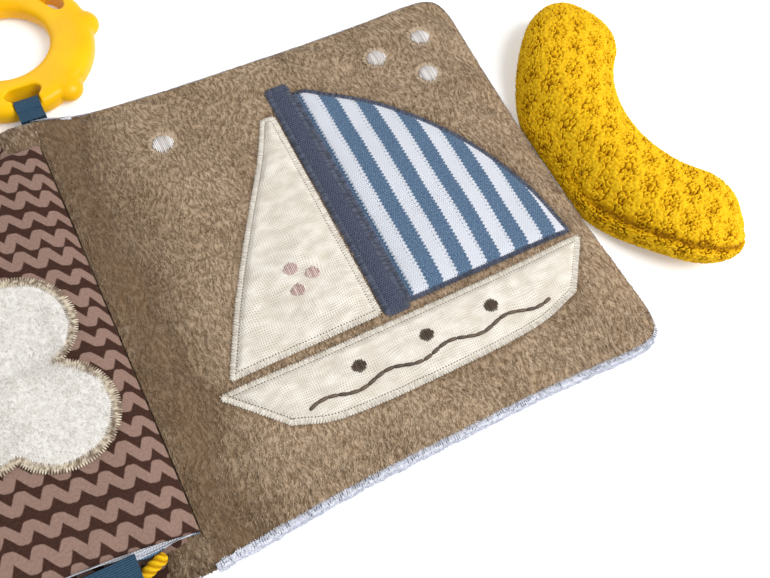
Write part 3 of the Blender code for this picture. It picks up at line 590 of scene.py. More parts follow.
def floor_finish():
    """Seamless white paper under the object: white to the camera, with the object's soft shadow kept."""
    f = Finish("white_paper", "f4f4f4", 0.9)
    place = f.add("TexCoord", output=3)
    f.bump((f.add("TexNoise", (place, 300.0, 2.0, 0.55)), 0.01))
    f.shader.inputs["Emission Color"].default_value = (1, 1, 1, 1)
    f.feed("Emission Strength", f.add("Math", (looked_at(f.tree), FLOOR_GLOW), operation="MULTIPLY"))
    return f.material


FINISHES = {
    "plush": plush_finish(),
    "print": print_finish(),
    "muslin": muslin_finish(),
    "sail": jersey_finish("striped_jersey", 0.5, STRIPE_START),
    "stripe": jersey_finish("leaf_jersey", 0.5, 3.9, (0, 1, 0)),
    "outer": outer_jersey_finish(),
    "band": band_finish(),
    "fleece": fleece_finish(),
    "plush_hair": hair_finish("plush_hair", "735d47", "cdb89e", 0.6),
    "fleece_hair": hair_finish("fleece_hair", "c6c2bb", "e1deda"),
    "white_hair": hair_finish("white_hair", "cdd1e0", "f3f4f7"),
    "needle": thread_finish("needle_holes", "33291f", "5d5142"),
    "tape": tape_finish(),
    "knit": yellow_knit_finish(),
    "cream_thread": thread_finish("cream_thread", "c4bcae", "e8e2d8"),
    "beige_thread": thread_finish("beige_thread", "664f3a", "d6cab4"),
    "blue_thread": thread_finish("blue_thread", "1d2232", "555c70"),
    "white_thread": thread_finish("white_thread", "c4bcb8", "f2efed"),
    "brown_thread": thread_finish("brown_thread", "34271d", "5b4a39"),
    "pink_thread": thread_finish("pink_thread", "b0928c", "e3d0cb"),
    "rubber": rubber_finish(),
    "wadding": wadding_finish(),
    "foil": foil_finish(),
    "floor": floor_finish(),
}


def piece(name, places, faces, finish, slot, **attributes):
    """A new object from places in millimetres and four-cornered faces, with values kept at its points."""
    volume = np.einsum("ij,ij->i", places[faces[:, 0]], np.cross(places[faces[:, 1]], places[faces[:, 2]]))
    volume += np.einsum("ij,ij->i", places[faces[:, 0]], np.cross(places[faces[:, 2]], places[faces[:, 3]]))
    if volume.sum() < 0:
        faces = faces[:, ::-1]
    mesh = bpy.data.meshes.new(name)
    mesh.vertices.add(len(places))
    mesh.vertices.foreach_set("co", (places * MM).astype(np.float32).ravel())
    mesh.loops.add(faces.size)
    mesh.loops.foreach_set("vertex_index", faces.astype(np.int32).ravel())
    mesh.polygons.add(len(faces))
    mesh.polygons.foreach_set("loop_start", np.arange(0, faces.size, 4, dtype=np.int32))
    mesh.update(calc_edges=True)
    mesh.polygons.foreach_set("use_smooth", np.ones(len(faces), bool))
    for key, values in attributes.items():
        flat = values.ndim == 1
        kept = mesh.attributes.new(key, "FLOAT" if flat else "FLOAT_VECTOR", "POINT")
        kept.data.foreach_set("value" if flat else "vector", values.astype(np.float32).ravel())
    mesh.materials.append(FINISHES[finish])
    made = bpy.data.objects.new(name, mesh)
    bpy.context.scene.collection.objects.link(made)
    return made


def level_places(x, y):
    return np.stack((x, y, 0 * x), -1)


def grid_faces(index):
    return np.stack((index[:-1, :-1], index[1:, :-1], index[1:, 1:], index[:-1, 1:]), -1).reshape(-1, 4)


def shell(name, upper, lower, finish, slot, cloth=None, relief=None):
    """A closed sheet of cloth between two grids of places."""
    rows, columns = upper.shape[:2]
    count = rows * columns
    index = np.arange(count).reshape(rows, columns)
    rim = np.concatenate((index[:, 0], index[-1, 1:], index[-2::-1, -1], index[0, -2:0:-1]))
    after = np.roll(rim, -1)
    side = np.stack((rim, after, after + count, rim + count), -1)
    faces = np.concatenate((grid_faces(index), grid_faces(index + count)[:, ::-1], side[:, ::-1]))
    places = np.concatenate((upper.reshape(-1, 3), lower.reshape(-1, 3)))
    cloth = places[:count] if cloth is None else cloth.reshape(-1, 3)
    relief = np.ones(count) if relief is None else relief.ravel()
    return piece(
        name, places, faces, finish, slot, cloth=np.concatenate((cloth,
                                                                 cloth)), relief=np.concatenate((relief,
                                                                                                 relief))
    )


def lattice_noise(x, y, size, seed):
    """Smooth noise from -1 to 1 whose hills are about two sizes apart."""
    table = np.random.default_rng(seed).uniform(-1, 1, (512, 512))
    u = x / size + 97.3
    v = y / size + 41.7
    i = np.floor(u).astype(int)
    j = np.floor(v).astype(int)
    a = u - i
    b = v - j
    a = a * a * (3 - 2 * a)
    b = b * b * (3 - 2 * b)
    low = table[i % 512, j % 512] * (1 - a) + table[(i + 1) % 512, j % 512] * a
    high = table[i % 512, (j + 1) % 512] * (1 - a) + table[(i + 1) % 512, (j + 1) % 512] * a
    return low * (1 - b) + high * b


def smooth_line(points, count):
    """Points read evenly from a smooth curve through the given points."""
    points = np.array(points, float)
    ends = np.concatenate((2 * points[:1] - points[1:2], points, 2 * points[-1:] - points[-2:-1]))
    at = np.linspace(0, len(points) - 1, count)
    span = np.minimum(at.astype(int), len(points) - 2)
    t = (at - span)[:, None]
    a, b, c, d = (ends[span + k] for k in range(4))
    return (2 * b + (c - a) * t + (2 * a - 5 * b + 4 * c - d) * t**2 + (3 * b - a - 3 * c + d) * t**3) / 2


def even_line(points, spacing):
    """The same line with its points the same distance apart."""
    steps = np.linalg.norm(np.diff(points, axis=0), axis=1)
    run = np.concatenate(((0,), np.cumsum(steps)))
    at = np.linspace(0, run[-1], max(int(round(run[-1] / spacing)), 2) + 1)
    return np.stack([np.interp(at, run, points[:, k]) for k in range(points.shape[1])], -1)


def swell(distance, reach):
    return np.sqrt(np.maximum(1 - (1 - np.clip(distance / reach, 0, 1)) ** 2, 0))


def soft_swell(distance, reach):
    return np.sin(np.pi / 2 * np.clip(distance / reach, 0, 1))


def crowded(count, share=0.62):
    """Shares from 0 to 1 that lie closer together near both ends."""
    even = np.linspace(0, 1, count)
    return even - share * np.sin(2 * np.pi * even) / (2 * np.pi)


class Leaf:
    """A padded leaf, in places of its own: out from the spine, up the page, and above the spine's line."""

    def __init__(
        self, side, start, width, height, draw_in, ear, corner_power, spine_swell, lies_flat, bottom_inset=0.0
    ):
        self.side = side
        self.bottom_inset = bottom_inset
        self.start = start
        self.width = width
        self.half_height = height / 2
        self.draw_in = draw_in
        self.ear = ear
        self.corner_power = corner_power
        self.spine_swell = spine_swell
        self.lies_flat = lies_flat

    def side_at(self, out):
        nearest = np.clip(np.minimum(out, self.width - out), 0, self.ear)
        return self.half_height - self.draw_in * (1 - (1 - nearest / self.ear) ** 2)

    def width_at(self, share_up):
        return self.width - self.draw_in * (1 - share_up**2)

    def pull(self, across, along):
        """How far the two outer corners are drawn towards the page's middle."""
        s = np.maximum(2 * across - 1, 0)
        t = np.abs(2 * along - 1)
        most = np.maximum(np.maximum(s, t), 1e-6)
        corner = ((s / most) ** self.corner_power + (t / most) ** self.corner_power) ** (1 / self.corner_power)
        return np.where(s > 0, corner ** -(most**8), 1)

    def plan(self, across, along):
        pull = self.pull(across, along)
        s = (2 * across - 1) * np.where(across > 0.5, pull, 1)
        t = (2 * along - 1) * pull
        out = (1 + s) / 2 * self.width_at(t)
        return self.start + out, t * self.side_at(out) + self.bottom_inset * (1 - t) / 2

    def shares(self, out, up):
        side = self.side_at(out - self.start)
        share_up = (up - self.bottom_inset / 2) / (side - self.bottom_inset / 2)
        return (out - self.start) / self.width_at(share_up), (1 + share_up) / 2

    def padding(self, across, along, edge=EDGE_SWELL, spine_half=1.0):
        outer = (1 - across) * self.width
        side = 2 * np.minimum(along, 1 - along) * self.half_height
        round_edge = swell(outer, edge) * swell(side, edge)
        at_spine = spine_half * swell(side, 2.0)
        full = soft_swell(across * self.width, self.spine_swell)
        crown = 0.8 * np.sin(np.pi * across) * np.sin(np.pi * along)
        low = SEAM_HALF + at_spine * (1 - full) * swell(outer, 2.0)
        return low + (LEAF_HALF - SEAM_HALF) * full * round_edge + crown

    def middle(self, across):
        if not self.lies_flat:
            return 0 * across
        left = 1 - np.minimum(across * self.width / SPINE_BEND, 1)
        return LEAF_LOW + (-3.1 - LEAF_LOW) * left**2 * (3 - 2 * left)

    def place(self, out, up, level):
        tilt = 0 if self.lies_flat else MIDDLE_TILT
        x = out * math.cos(tilt) - level * math.sin(tilt)
        z = out * math.sin(tilt) + level * math.cos(tilt)
        return np.stack((self.side * x, up, SPINE_HEIGHT + z), -1)

    def top(self, out, up):
        """Height of the upper surface over the spine's line at a place well inside the page."""
        across, along = self.shares(out, up)
        return self.middle(across) + self.padding(across, along)


BACK = Leaf(
    1, LEAF_START, COVER_WIDTH - FACE_INSET_OUTER, COVER_HEIGHT, COVER_DRAW_IN, COVER_EAR, CORNER_POWER, 45,
    True, FACE_INSET_BOTTOM,
)
FRONT = Leaf(
    -1, LEAF_START, COVER_WIDTH - FACE_INSET_OUTER, COVER_HEIGHT, COVER_DRAW_IN, COVER_EAR, CORNER_POWER, 45,
    True, FACE_INSET_BOTTOM,
)
MIDDLE = Leaf(
    -1, -MIDDLE_OVER_SPINE, MIDDLE_WIDTH + LEAF_START + MIDDLE_OVER_SPINE, MIDDLE_HEIGHT,
    MIDDLE_DRAW_IN, MIDDLE_EAR, 16, 12, False,
)


def cloth_of(out, up, level, side):
    """Flat cloth places: real distance along the cloth from a middle column, so patterns keep their size."""
    steps = np.hypot(np.diff(out, axis=1), np.diff(level, axis=1))
    run = np.concatenate((np.zeros((len(out), 1)), np.cumsum(steps, axis=1)), axis=1)
    column = out.shape[1] // 3
    flat = out[:, column : column + 1] + run - run[:, column : column + 1]
    return np.stack((side * flat, up, np.zeros_like(up)), -1)


# Picture outlines: each patch lies between two of these lines, in millimetres on the page
LEECH = smooth_line([(170.8, -36.3), (165.6, -10.6), (152.3, 18.5), (130.8, 44.9), (104.9, 64.0)], 60)
LUFF = smooth_line([(100.5, -36.3), (100.5, -11.0), (100.5, 14.0), (100.5, 39.0), (100.5, 64.0)], 60)
JIB_LEFT = smooth_line([(30.9, -36.3), (44.2, -10.6), (59.8, 15.8), (74.6, 39.6), (83.5, 56.8)], 60)
JIB_MAST = smooth_line([(87.9, -36.3), (87.9, -13.0), (87.9, 10.2), (87.9, 33.5), (87.9, 56.8)], 60)
KEEL = smooth_line([(42.8, -59.4), (60.5, -64.7), (99.0, -66.0), (137.5, -64.7), (158.2, -59.4)], 90)
RAIL = smooth_line([(25.0, -40.7), (62.0, -41.6), (99.0, -41.8), (136.0, -41.6), (173.0, -40.3)], 90)


def outline(first, second):
    """The closed outline round a patch that lies between two lines."""
    return np.concatenate((first, second[::-1], first[:1]))


BORDERS = {
    "sail": outline(LUFF, LEECH),
    "jib": outline(JIB_LEFT, JIB_MAST),
    "hull": outline(KEEL, RAIL),
}


def border_distance(out, up):
    """Distance on the page from the nearest sewn border of the picture."""
    nearest = np.full(out.shape, 99.0)
    for line in BORDERS.values():
        for x, y in even_line(line, 2.0):
            np.minimum(nearest, (out - x) ** 2 + (up - y) ** 2, out=nearest)
    return np.sqrt(nearest)


def spread(table, times):
    """The same table with each value evened out with its neighbours."""
    for _ in range(times):
        wide = np.pad(table, 1, "edge")
        beside = wide[:-2, 1:-1] + wide[2:, 1:-1] + wide[1:-1, :-2] + wide[1:-1, 2:]
        table = (beside + 4 * wide[1:-1, 1:-1]) / 8
    return table


def settle_quilt():
    """Heights of the plush page as cloth over wadding: held at its seams and borders, puffed up between them."""
    across, along = np.meshgrid(np.linspace(0, 1, QUILT_POINTS), np.linspace(0, 1, QUILT_POINTS))
    out, up = BACK.plan(across, along)
    held = border_distance(out, up) < QUILT_HELD
    held |= (np.minimum(across, along) <= 0) | (np.maximum(across, along) >= 1)
    uneven = np.where(held, 0, 0.3 * lattice_noise(out, up, 5.0, 191))
    index = np.arange(QUILT_POINTS**2).reshape(QUILT_POINTS, QUILT_POINTS)
    mesh = bpy.data.meshes.new("quilt_trial")
    mesh.from_pydata((np.stack((out, up, uneven), -1).reshape(-1, 3) * MM).tolist(), [],
                     grid_faces(index).tolist())
    trial = bpy.data.objects.new("quilt_trial", mesh)
    bpy.context.scene.collection.objects.link(trial)
    trial.vertex_groups.new(name="sewn").add(np.flatnonzero(held.ravel()).tolist(), 1.0, "REPLACE")
    cloth = trial.modifiers.new("cloth", "CLOTH").settings
    cloth.quality = 5
    cloth.mass = 0.15
    cloth.vertex_group_mass = "sewn"
    cloth.use_pressure = True
    cloth.uniform_pressure_force = -QUILT_PRESSURE
    cloth.shrink_min = -QUILT_EASE
    cloth.bending_stiffness = 0.05
    cloth.effector_weights.gravity = 0
    for step in range(1, QUILT_STEPS + 1):
        bpy.context.scene.frame_set(step)
    settled = trial.evaluated_get(bpy.context.evaluated_depsgraph_get()).data
    places = np.empty(3 * QUILT_POINTS**2, np.float32)
    settled.vertices.foreach_get("co", places)
    bpy.context.scene.frame_set(1)
    bpy.data.objects.remove(trial)
    heights = np.abs(places.reshape(QUILT_POINTS, QUILT_POINTS, 3)[..., 2]) / MM
    return spread(np.minimum(heights * QUILT_SHARE, QUILT_MOST), 3)


QUILT = settle_quilt()


def sewn_sink(out, up):
    """How the page is drawn down under the borders' stitches and stands up between them."""
    distance = np.minimum(border_distance(out, up), 12)
    across, along = (np.clip(share, 0, 1) * (QUILT_POINTS - 1) for share in BACK.shares(out, up))
    i = np.minimum(along.astype(int), QUILT_POINTS - 2)
    j = np.minimum(across.astype(int), QUILT_POINTS - 2)
    a, b = along - i, across - j
    low = QUILT[i, j] * (1 - b) + QUILT[i, j + 1] * b
    high = QUILT[i + 1, j] * (1 - b) + QUILT[i + 1, j + 1] * b
    room = 1.7 * np.exp(-(((out - 14) / 8) ** 2))
    return low * (1 - a) + high * a - 0.85 * np.exp(-((distance / 2.4) ** 2)) - room


def pile_relief(out, up, seed):
    """Height of a short pile, combed along the spine and parted in places."""
    drift = 6 * lattice_noise(out, up, 26, seed)
    fine = lattice_noise(out + drift, up * 0.5, 0.95, seed + 1)
    parted = lattice_noise(out + 1.5 * drift, up * 0.45 + drift, 2.1, seed + 2)
    broad = lattice_noise(out, up, 7.0, seed + 3)
    return 0.1 * fine + 0.2 * parted + 0.14 * broad


def edge_puckers(across, along, leaf, seed):
    """Small gathers where the seam draws the cloth in."""
    outer = (1 - across) * leaf.width
    side = 2 * np.minimum(along, 1 - along) * leaf.half_height
    near = np.exp(-((np.minimum(outer, side) / 9) ** 2)) * swell(np.minimum(outer, side), 3)
    out, up = leaf.plan(across, along)
    return 0.5 * near * lattice_noise(out + up, (out - up) * 0.3, 7.0, seed)


def make_page(name, leaf, finish, slot, body, node, relief, columns, rows):
    """The upper cloth of a leaf, on its own grid, with its relief."""
    across, along = np.meshgrid(crowded(columns), crowded(rows))
    out, up = leaf.plan(across, along)
    level = leaf.middle(across) + leaf.padding(across, along)
    side = 2 * np.minimum(along, 1 - along) * leaf.half_height
    inside = swell((1 - across) * leaf.width, 1.5) * swell(side, 1.5)
    height = relief(out, up, across, along)
    upper = leaf.place(out, up, level + height * inside)
    lower = leaf.place(out, up, np.maximum(level - 1.1, leaf.middle(across) + 0.02))
    cloth = cloth_of(out, up, level, leaf.side)
    made = shell(name, upper, lower, finish, slot, cloth, np.clip(0.5 + height, 0, 1))
    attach(made, body)
    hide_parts(node)
    return made


def rim_loop(leaf, count):
    """The page's rim from the spine's foot round to its head, with how far the outer cloth rolls out there."""
    even = np.linspace(0, 1, count)
    sides = (("bottom", even, 0 * even), ("outer", 1 + 0 * even, even), ("top", 1 - even, 1 + 0 * even))
    across = np.concatenate([side[1][:-1] for side in sides])
    along = np.concatenate([side[2][:-1] for side in sides])
    roll = np.concatenate([np.full(count - 1, ROLL_SHARES[side[0]]) for side in sides])
    smoothing = np.hanning(count // 6 * 2 + 1)
    roll = np.convolve(np.pad(roll, len(smoothing) // 2, "edge"), smoothing / smoothing.sum(), "valid")
    out, up = leaf.plan(np.append(across, 0.0), np.append(along, 1.0))
    return np.stack((out, up), -1), np.append(roll, roll[-1])


def make_outer(name, leaf, body, node):
    """A cover's outer cloth: it comes out of the page's seam, rolls round the padding and lies on the table."""
    rim, roll = rim_loop(leaf, 220)
    run = np.concatenate(((0,), np.cumsum(np.linalg.norm(np.diff(rim, axis=0), axis=1))))
    steps = np.gradient(rim, axis=0)
    outward = np.stack((steps[:, 1], -steps[:, 0]), -1) / (np.linalg.norm(steps, axis=1)[:, None] + 1e-9)
    runs = np.linspace(0, 1, 30)
    offset = np.interp(runs * (len(ROLL_OUT) - 1), np.arange(len(ROLL_OUT)), ROLL_OUT)
    height = np.interp(runs * (len(ROLL_OUT) - 1), np.arange(len(ROLL_OUT)), ROLL_HEIGHT)
    shift = np.where(offset[:, None] > 0, offset[:, None] * roll[None], offset[:, None])
    gather = 0.25 * lattice_noise(rim[:, 0] + rim[:, 1], rim[:, 0] - rim[:, 1], 5.0, 9)
    shift = shift + np.sin(np.pi * runs)[:, None] * gather[None]
    shift = shift + np.sin(np.pi * runs)[:, None] * 0.3 * lattice_noise(run[None], 6 * runs[:, None], 0.9, 19)
    flat = rim[None] + outward[None] * shift[..., None]
    centre = np.stack((np.minimum(rim[:, 0], 150), 0 * rim[:, 1]), -1)
    inner_shares = np.append(np.linspace(0, 0.998, 44)[1:], 1.0)[:, None, None]
    under = flat[-1][None] * (1 - inner_shares) + centre[None] * inner_shares
    flat = np.concatenate((flat, under))
    lifted = np.minimum(6 * inner_shares[..., 0], 1) * underside_relief(under[..., 0], under[..., 1])
    level = np.concatenate((height[:, None] + 0 * rim[None, :, 0], ROLL_HEIGHT[-1] + lifted))
    outer_places = leaf.place(flat[..., 0], flat[..., 1], level + slope_at(leaf, flat[..., 0]) - SPINE_HEIGHT)
    inner_level = np.minimum(level + 0.7, 4.8) + slope_at(leaf, flat[..., 0])
    pulled = flat - np.concatenate((outward[None] * 0.5 * np.sin(np.pi * runs)[:, None, None], 0 * under))
    inner_places = leaf.place(pulled[..., 0], pulled[..., 1], inner_level - SPINE_HEIGHT)
    down = np.cumsum(np.concatenate(((0,), np.hypot(np.diff(offset), np.diff(height)))))
    unrolled = flat[len(down) - 1] + outward * (down[-1] - down)[:, None, None]
    cloth = np.concatenate((unrolled, under))
    cloth = np.concatenate((cloth, 0 * cloth[..., :1]), axis=-1)
    made = shell(name, inner_places, outer_places, "outer", "striped_jersey", cloth)
    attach(made, body)
    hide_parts(node)
    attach(seam_whips(leaf, rim, roll), body)
    seam_fringe(leaf, outer_places[:14, roll > 0.7], body)
    return made


def underside_relief(out, up):
    """Soft folds of the outer cloth over the table, less deep than the padding above it allows."""
    drift = 8 * lattice_noise(out, up, 30, 205)
    folds = lattice_noise(0.4 * out + drift, up, 9.0, 206)
    rise = 0.5 + 0.35 * lattice_noise(out, up, 24.0, 207) + 0.25 * folds
    return np.clip(rise + 0.08 * lattice_noise(out, up, 4.0, 208), 0, UNDERSIDE_MOST)


def seam_fringe(leaf, band, body):
    """Loose fibres on the part of the outer cloth that rolls out of the seam."""
    random = np.random.default_rng(161)
    row = random.integers(0, len(band), FRINGE_HAIRS)
    column = random.integers(1, band.shape[1] - 1, FRINGE_HAIRS)
    aside = random.uniform(-0.6, 0.6, (FRINGE_HAIRS, 1))
    roots = band[row, column] + aside * (band[row, column] - band[row, column - 1])
    leans = random.normal(0, 0.6, (FRINGE_HAIRS, 3)) + UP * 0.7
    leans /= np.linalg.norm(leans, axis=1)[:, None]
    side = "back" if leaf.side > 0 else "front"
    hairs(f"{side}_seam_fringe", roots, leans, *FRINGE_HAIR, "white_hair", "striped_jersey", body, 162, roots,
          random.uniform(0, 1, FRINGE_HAIRS))


def slope_at(leaf, out):
    """How much higher than the flat page the leaf lies near the spine."""
    return leaf.middle((out - leaf.start) / leaf.width) - LEAF_LOW


def seam_whips(leaf, rim, roll):
    """Navy whip stitches that show here and there along the seam between plush and outer cloth."""
    random = np.random.default_rng(17 if leaf.side > 0 else 18)
    line = even_line(rim[roll > 0.5], 0.8)
    parts = []
    for k, (here, after) in enumerate(zip(line, line[1:])):
        if random.uniform() < 0.4 + 0.5 * math.sin(0.21 * k) * math.sin(0.057 * k):
            continue
        along = (after - here) / np.linalg.norm(after - here)
        normal = np.array((along[1], -along[0]))
        away = random.uniform(0.4, 1.5)
        spot = here + normal * away
        rise = float(np.interp(away, ROLL_OUT[:4], ROLL_HEIGHT[:4])) + 0.15
        row = np.array([spot - along * 0.01, spot + along * 0.01])
        surface = lambda out, up: 0 * out + rise - SPINE_HEIGHT + slope_at(leaf, out)
        parts.append(single_stitch(
            row, random.uniform(0.9, 2.0), surface, random.uniform(-0.4, 0.4), 0.3,
            random.uniform(0.22, 0.42), 200 + k,
        ))
    side = "back" if leaf.side > 0 else "front"
    place = lambda flat: leaf.place(flat[:, 0], flat[:, 1], flat[:, 2])
    return thread_piece(f"{side}_seam_whipping", parts, "blue_thread", "navy_band", place, f"{side}_cover")


def back_relief(out, up, across, along):
    return pile_relief(out, up, 11) + sewn_sink(out, up) + edge_puckers(across, along, BACK, 5)


def print_relief(out, up, across, along):
    wrinkles = 0.28 * lattice_noise(out, up, 11, 21) + 0.12 * lattice_noise(out, up, 4.2, 22)
    return wrinkles + 0.7 * edge_puckers(across, along, MIDDLE, 23)


def make_leaves():
    """All three leaves' cloths."""
    make_page("back_page_plush", BACK, "plush", "brown_plush", "back_cover", "back_cover_plush",
              back_relief, 300, 300)
    make_page("front_page_print", FRONT, "print", "printed_cotton", "front_cover", "front_cover_print",
              print_relief, 90, 90)
    make_page("middle_page_print", MIDDLE, "print", "printed_cotton", "middle_leaf", "middle_leaf_print",
              print_relief, 200, 180)
    make_outer("back_outer_jersey", BACK, "back_cover", "back_cover_jersey")
    make_outer("front_outer_jersey", FRONT, "front_cover", "front_cover_jersey")
    make_middle_underside()


def make_middle_underside():
    """The middle leaf's other page, in striped jersey."""
    leaf = MIDDLE
    across, along = np.meshgrid(crowded(90), crowded(90))
    out, up = leaf.plan(across, along)
    half = leaf.padding(across, along)
    relief = 0.2 * lattice_noise(out, up, 9, 31)
    from_side = 2 * along * leaf.half_height
    lip = 1.0 + 3.6 * np.exp(-(((out - 15) / 8) ** 2))
    up = up - lip * np.exp(-(((from_side - 1.6) / 1.8) ** 2))
    lower = leaf.place(out, up, -half - relief * swell(across * leaf.width, 4))
    upper = leaf.place(out, up, np.minimum(-half + 1.0, -0.02))
    cloth = level_places(out, up)
    made = shell("middle_page_jersey", upper, lower, "stripe", "striped_jersey", cloth)
    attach(made, "middle_leaf")
    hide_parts("middle_leaf_jersey")


def spine_height(across, x, y):
    """Height of the plush over the spine's seam: flat under the leaf, a roll at its two open ends."""
    open_end = 1 / (1 + np.exp(-(np.abs(y) - 80.5) / 1.3))
    hump = (0.1 + 2.7 * open_end) * np.sin(np.pi * across) ** 0.7
    ends = swell(SPINE_STRIP_Y - np.abs(y), 4.0)
    return 6.2 + 1.9 * ends + hump * ends + 0.8 * pile_relief(x, y, 41)


def make_spine_hairs():
    """Pile on the two open ends of the spine's plush."""
    random = np.random.default_rng(211)
    across = random.uniform(0.06, 0.96, SPINE_HAIRS)
    x = SPINE_STRIP[0] + across * (SPINE_STRIP[1] - SPINE_STRIP[0])
    y = random.choice((-1, 1), SPINE_HAIRS) * random.uniform(79.5, SPINE_STRIP_Y - 0.3, SPINE_HAIRS)
    roots = np.stack((x, y, spine_height(across, x, y) - 0.2), -1)
    leans = np.stack((0.6 * (across - 0.5), 1.2 * np.sign(y), 0.6 + 0 * y),
                     -1) + random.normal(0, 0.3, (SPINE_HAIRS, 3))
    leans /= np.linalg.norm(leans, axis=1)[:, None]
    cloth = np.stack((x + 30, y, 0 * y), -1)
    tufts = 0.4 + 0.6 * lattice_noise(x, 0.4 * y, 0.62, 212)
    made = hairs("spine_pile", roots, leans, *PLUSH_HAIR, "plush_hair", "brown_plush", None, 213, cloth,
                 tufts)
    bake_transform(made)


def make_spine():
    """The plush strip over the rolled spine seam, and the outer cloth under it."""
    along, across = np.meshgrid(np.linspace(-1, 1, 320), np.linspace(0, 1, 34), indexing="ij")
    x = SPINE_STRIP[0] + across * (SPINE_STRIP[1] - SPINE_STRIP[0])
    y = along * SPINE_STRIP_Y
    z = spine_height(across, x, y)
    upper = np.stack((x, y, z), -1)
    lower = np.stack((x, y, np.maximum(z - 2.2, 5.6)), -1)
    strip = shell("spine_plush", upper, lower, "plush", "brown_plush", relief=0.5 + pile_relief(x, y, 41))
    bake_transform(strip)
    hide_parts("spine_roll")

    along, across = np.meshgrid(np.linspace(-1, 1, 240), np.linspace(0, 1, 30), indexing="ij")
    x = -14.5 + across * 31.5
    y = along * 91.0
    rise = np.clip((np.abs(y) - 84.5) / 6.5, 0, 1)
    z = 0.15 + 5.6 * rise**2 * (3 - 2 * rise) + 0.25 * lattice_noise(x, y, 5, 51) * rise
    y = y + np.sign(y) * 1.1 * np.sin(np.pi * rise)
    lower = np.stack((x, y, z), -1)
    upper = np.stack((x, y, z + 0.6), -1)
    cloth = np.stack((x, y + z * np.sign(y), 0 * x), -1)
    outer = shell("spine_outer_jersey", upper, lower, "outer", "striped_jersey", cloth)
    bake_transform(outer)
    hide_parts("spine_jersey")


def page_rise(out, up):
    """Height of the back page with what its borders' stitches do to it, without its pile."""
    return BACK.top(out, up) + sewn_sink(out, up)


def make_patch(name, first, second, finish, slot, node, relief, columns=120):
    """A cloth patch between two lines of the picture, sewn flat at its edges."""
    rows = len(first)
    share = np.linspace(0, 1, columns)[None, :, None]
    across = np.linspace(0, rows - 1, 3 * rows)
    lines = [np.stack([np.interp(across, np.arange(rows), line[:, k]) for k in range(2)], -1)
             for line in (first, second)]
    flat = lines[0][:, None] * (1 - share) + lines[1][:, None] * share
    out, up = flat[..., 0], flat[..., 1]
    distance = np.full(out.shape, 99.0)
    for x, y in even_line(outline(first, second), 1.5):
        np.minimum(distance, (out - x) ** 2 + (up - y) ** 2, out=distance)
    distance = np.sqrt(distance)
    inside = np.clip((distance - 0.6) / 2.2, 0, 1)
    height = relief(out, up) * inside
    base = BACK.place(out, up, page_rise(out, up))
    lift = PATCH_RISE * (0.35 + 0.65 * inside) + height
    upper = base + lift[..., None] * np.array((0, 0, 1))
    lower = base - np.array((0, 0, 0.15))
    cloth = level_places(out, up)
    made = shell(name, upper, lower, finish, slot, cloth, np.clip(0.5 + height, 0, 1))
    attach(made, "back_cover")
    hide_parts(node)
    if np.ptp(out) >= NARROWEST_SHEET:
        flat_size = (np.ptp(out) * MM, np.ptp(up) * MM)
    return made


def muslin_relief(out, up):
    """Puffs and small folds of crinkled gauze, longer across the patch than along it."""
    drift = 3 * lattice_noise(out, up, 12, 61)
    folds = lattice_noise(out * 0.55, up + drift, 3.0, 62)
    puffs = lattice_noise(out, up, 8.0, 63)
    return 0.16 * folds + 0.32 * puffs


def knit_relief(out, up):
    return 0.08 * lattice_noise(out, up, 6.0, 64)


def stitches(line, width, pitch, surface, lean=0.0, height=0.42, thread=0.5, seed=71, ragged=0.09):
    """Thread laid across a line again and again: each stitch is a small arched bar of its own tone."""
    centres = even_line(line, pitch)
    tangents = np.gradient(centres, axis=0)
    tangents /= np.linalg.norm(tangents, axis=1)[:, None] + 1e-9
    normals = np.stack((-tangents[:, 1], tangents[:, 0]), -1)
    random = np.random.default_rng(seed)
    count = len(centres)
    wide = width * (1 + random.uniform(-ragged, ragged, count))
    slant = lean * np.where(np.arange(count) % 2, 1.0, -1.0) + random.uniform(-0.06, 0.06, count)
    sections = np.array((-0.5, -0.4, -0.2, 0.0, 0.2, 0.4, 0.5))
    thin = np.array((0.35, 0.85, 1, 1, 1, 0.85, 0.35)) * thread / 2
    arch = np.array((0.05, 0.62, 0.92, 1, 0.92, 0.62, 0.05)) * height
    middle = (
        centres[:, None]
        + normals[:, None] * (sections[None, :] * wide[:, None])[..., None]
        + tangents[:, None] * (sections[None, :] * slant[:, None])[..., None]
    )
    base = surface(middle[..., 0], middle[..., 1])
    ring = []
    for beside, above in ((-1, 0.35), (0, 1.0), (1, 0.35), (0, -0.3)):
        flat = middle + tangents[:, None] * (beside * thin)[None, :, None]
        ring.append(np.stack((flat[..., 0], flat[..., 1], base + arch[None, :] * above + 0.02), -1))
    places = np.stack(ring, 2)
    index = np.arange(count * len(sections) * 4).reshape(count, len(sections), 4)
    here, after = index[:, :-1], index[:, 1:]
    turned = np.roll(np.arange(4), -1)
    sides = np.stack((here, here[..., turned], after[..., turned], after), -1).reshape(-1, 4)
    caps = np.concatenate((index[:, 0, ::-1], index[:, -1]))
    tone = np.repeat(random.uniform(0, 1, count), len(sections) * 4)
    return places.reshape(-1, 3), np.concatenate((sides, caps)), tone


def single_stitch(row, width, surface, lean, height, thread, seed):
    """Only the first of the stitches across a short row."""
    places, faces, tone = stitches(row, width, 1.0, surface, lean, height, thread, seed)
    return places[:STITCH_POINTS], faces[(faces < STITCH_POINTS).all(axis=1)], tone[:STITCH_POINTS]


def thread_piece(name, parts, finish, slot, place, body):
    """Several runs of stitches as one embroidery, set down by the function that places them."""
    points = []
    faces = []
    tones = []
    count = 0
    for places, sides, tone in parts:
        points.append(places)
        faces.append(sides + count)
        tones.append(tone)
        count += len(places)
    flat = np.concatenate(points)
    made = piece(
        name, place(flat), np.concatenate(faces), finish, slot, cloth=flat, tone=np.concatenate(tones)
    )
    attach(made, body)
    return made


